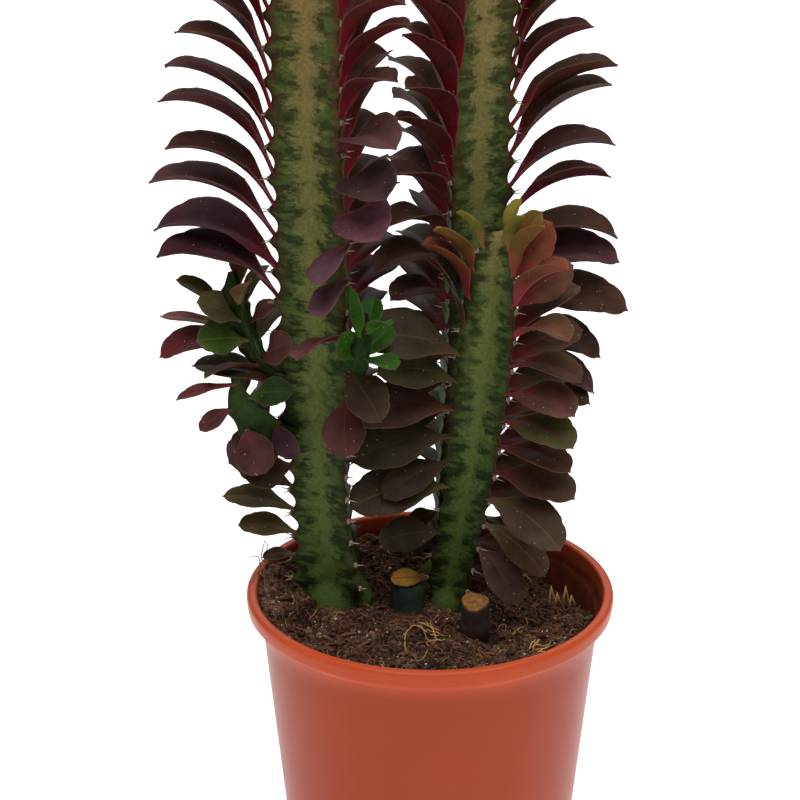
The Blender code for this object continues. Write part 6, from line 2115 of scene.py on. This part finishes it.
class MILKTREE_OT_stage(bpy.types.Operator):
    """Lay the floor and set the camera and soft lights."""

    bl_idname = "milk_tree.stage"
    bl_label = "Stage"

    def execute(self, context):
        scene = context.scene
        settings = scene.milk_tree_stage
        mesh = bpy.data.meshes.new("floor_card")
        mesh.from_pydata([(-12, -12, 0), (12, -12, 0), (12, 12, 0), (-12, 12, 0)], [], [(0, 1, 2, 3)])
        floor = bpy.data.objects.new("floor_card", mesh)
        scene.collection.objects.link(floor)
        mesh.materials.append(look(matt_backdrop_card, settings))
        world = bpy.data.worlds.new("white_surround")
        world.use_nodes = True
        world.node_tree.nodes["Background"].inputs["Color"].default_value = (1.0, 1.0, 1.0, 1.0)
        world.node_tree.nodes["Background"].inputs["Strength"].default_value = settings.light
        scene.world = world
        self.softbox("overhead", (0.05, -0.30, 1.60), 1.5, 24.0)
        self.softbox("backdrop", (0.0, 1.75, 1.20), 1.6, 13.0, (0.0, 1.75, 0.0))
        self.softbox("left", (-1.3, -0.5, 0.7), 0.9, 0.7)
        self.softbox("right", (1.3, -0.4, 0.7), 0.9, 0.7)
        camera = bpy.data.objects.new("camera", bpy.data.cameras.new("camera"))
        camera.data.lens = 116.1
        camera.data.sensor_width = 36.0
        camera.data.clip_start = 0.01
        camera.location = (0.0, -1.0739, 0.6854)
        camera.rotation_euler = (math.radians(67.63), 0.0, math.radians(0.7422))
        scene.collection.objects.link(camera)
        scene.camera = camera
        scene.view_settings.view_transform = "Standard"
        return {"FINISHED"}

    def softbox(self, name, place, size, power, target=(0.0, 0.0, 0.22)):
        """A square soft light aimed at the plant or at another target."""
        lamp = bpy.data.lights.new(name, "AREA")
        lamp.size = size
        lamp.energy = power
        item = bpy.data.objects.new(name, lamp)
        item.location = place
        item.rotation_euler = (Vector(place) - Vector(target)).to_track_quat("Z", "Y").to_euler()
        bpy.context.scene.collection.objects.link(item)


class MILKTREE_PT_panel(bpy.types.Panel):
    """Pieces and settings of the potted milk tree."""

    bl_idname = "MILKTREE_PT_panel"
    bl_label = "Potted milk tree"
    bl_space_type = "VIEW_3D"
    bl_region_type = "UI"
    bl_category = "Milk Tree"

    def draw(self, context):
        for operator in OPERATORS:
            self.layout.operator(operator.bl_idname)
        for name, group in SETTINGS.items():
            box = self.layout.box()
            for key in group.__annotations__:
                box.prop(getattr(context.scene, name), key)


SETTINGS = {
    "milk_tree_pot": PotSettings,
    "milk_tree_soil": SoilSettings,
    "milk_tree_plant": PlantSettings,
    "milk_tree_stage": StageSettings,
}
OPERATORS = (
    MILKTREE_OT_pot,
    MILKTREE_OT_soil,
    MILKTREE_OT_soil_bits,
    MILKTREE_OT_left_stem,
    MILKTREE_OT_rear_stem,
    MILKTREE_OT_front_stem,
    MILKTREE_OT_leaf_stub,
    MILKTREE_OT_cut_stub,
    MILKTREE_OT_stage,
)


def register():
    for group in SETTINGS.values():
        bpy.utils.register_class(group)
    for operator in OPERATORS:
        bpy.utils.register_class(operator)
    bpy.utils.register_class(MILKTREE_PT_panel)
    for name, group in SETTINGS.items():
        setattr(bpy.types.Scene, name, bpy.props.PointerProperty(type=group))


def unregister():
    for name in SETTINGS:
        delattr(bpy.types.Scene, name)
    bpy.utils.unregister_class(MILKTREE_PT_panel)
    for operator in reversed(OPERATORS):
        bpy.utils.unregister_class(operator)
    for group in reversed(list(SETTINGS.values())):
        bpy.utils.unregister_class(group)


def main():
    for item in list(bpy.data.objects):
        if item.type in ("CAMERA", "LIGHT") or item.name == "Cube":
            bpy.data.objects.remove(item)
    register()
    bpy.ops.milk_tree.pot()
    bpy.ops.milk_tree.soil()
    bpy.ops.milk_tree.soil_bits()
    bpy.ops.milk_tree.left_stem()
    bpy.ops.milk_tree.rear_stem()
    bpy.ops.milk_tree.front_stem()
    bpy.ops.milk_tree.leaf_stub()
    bpy.ops.milk_tree.cut_stub()
    bpy.ops.milk_tree.stage()


if __name__ == "__main__":
    main()
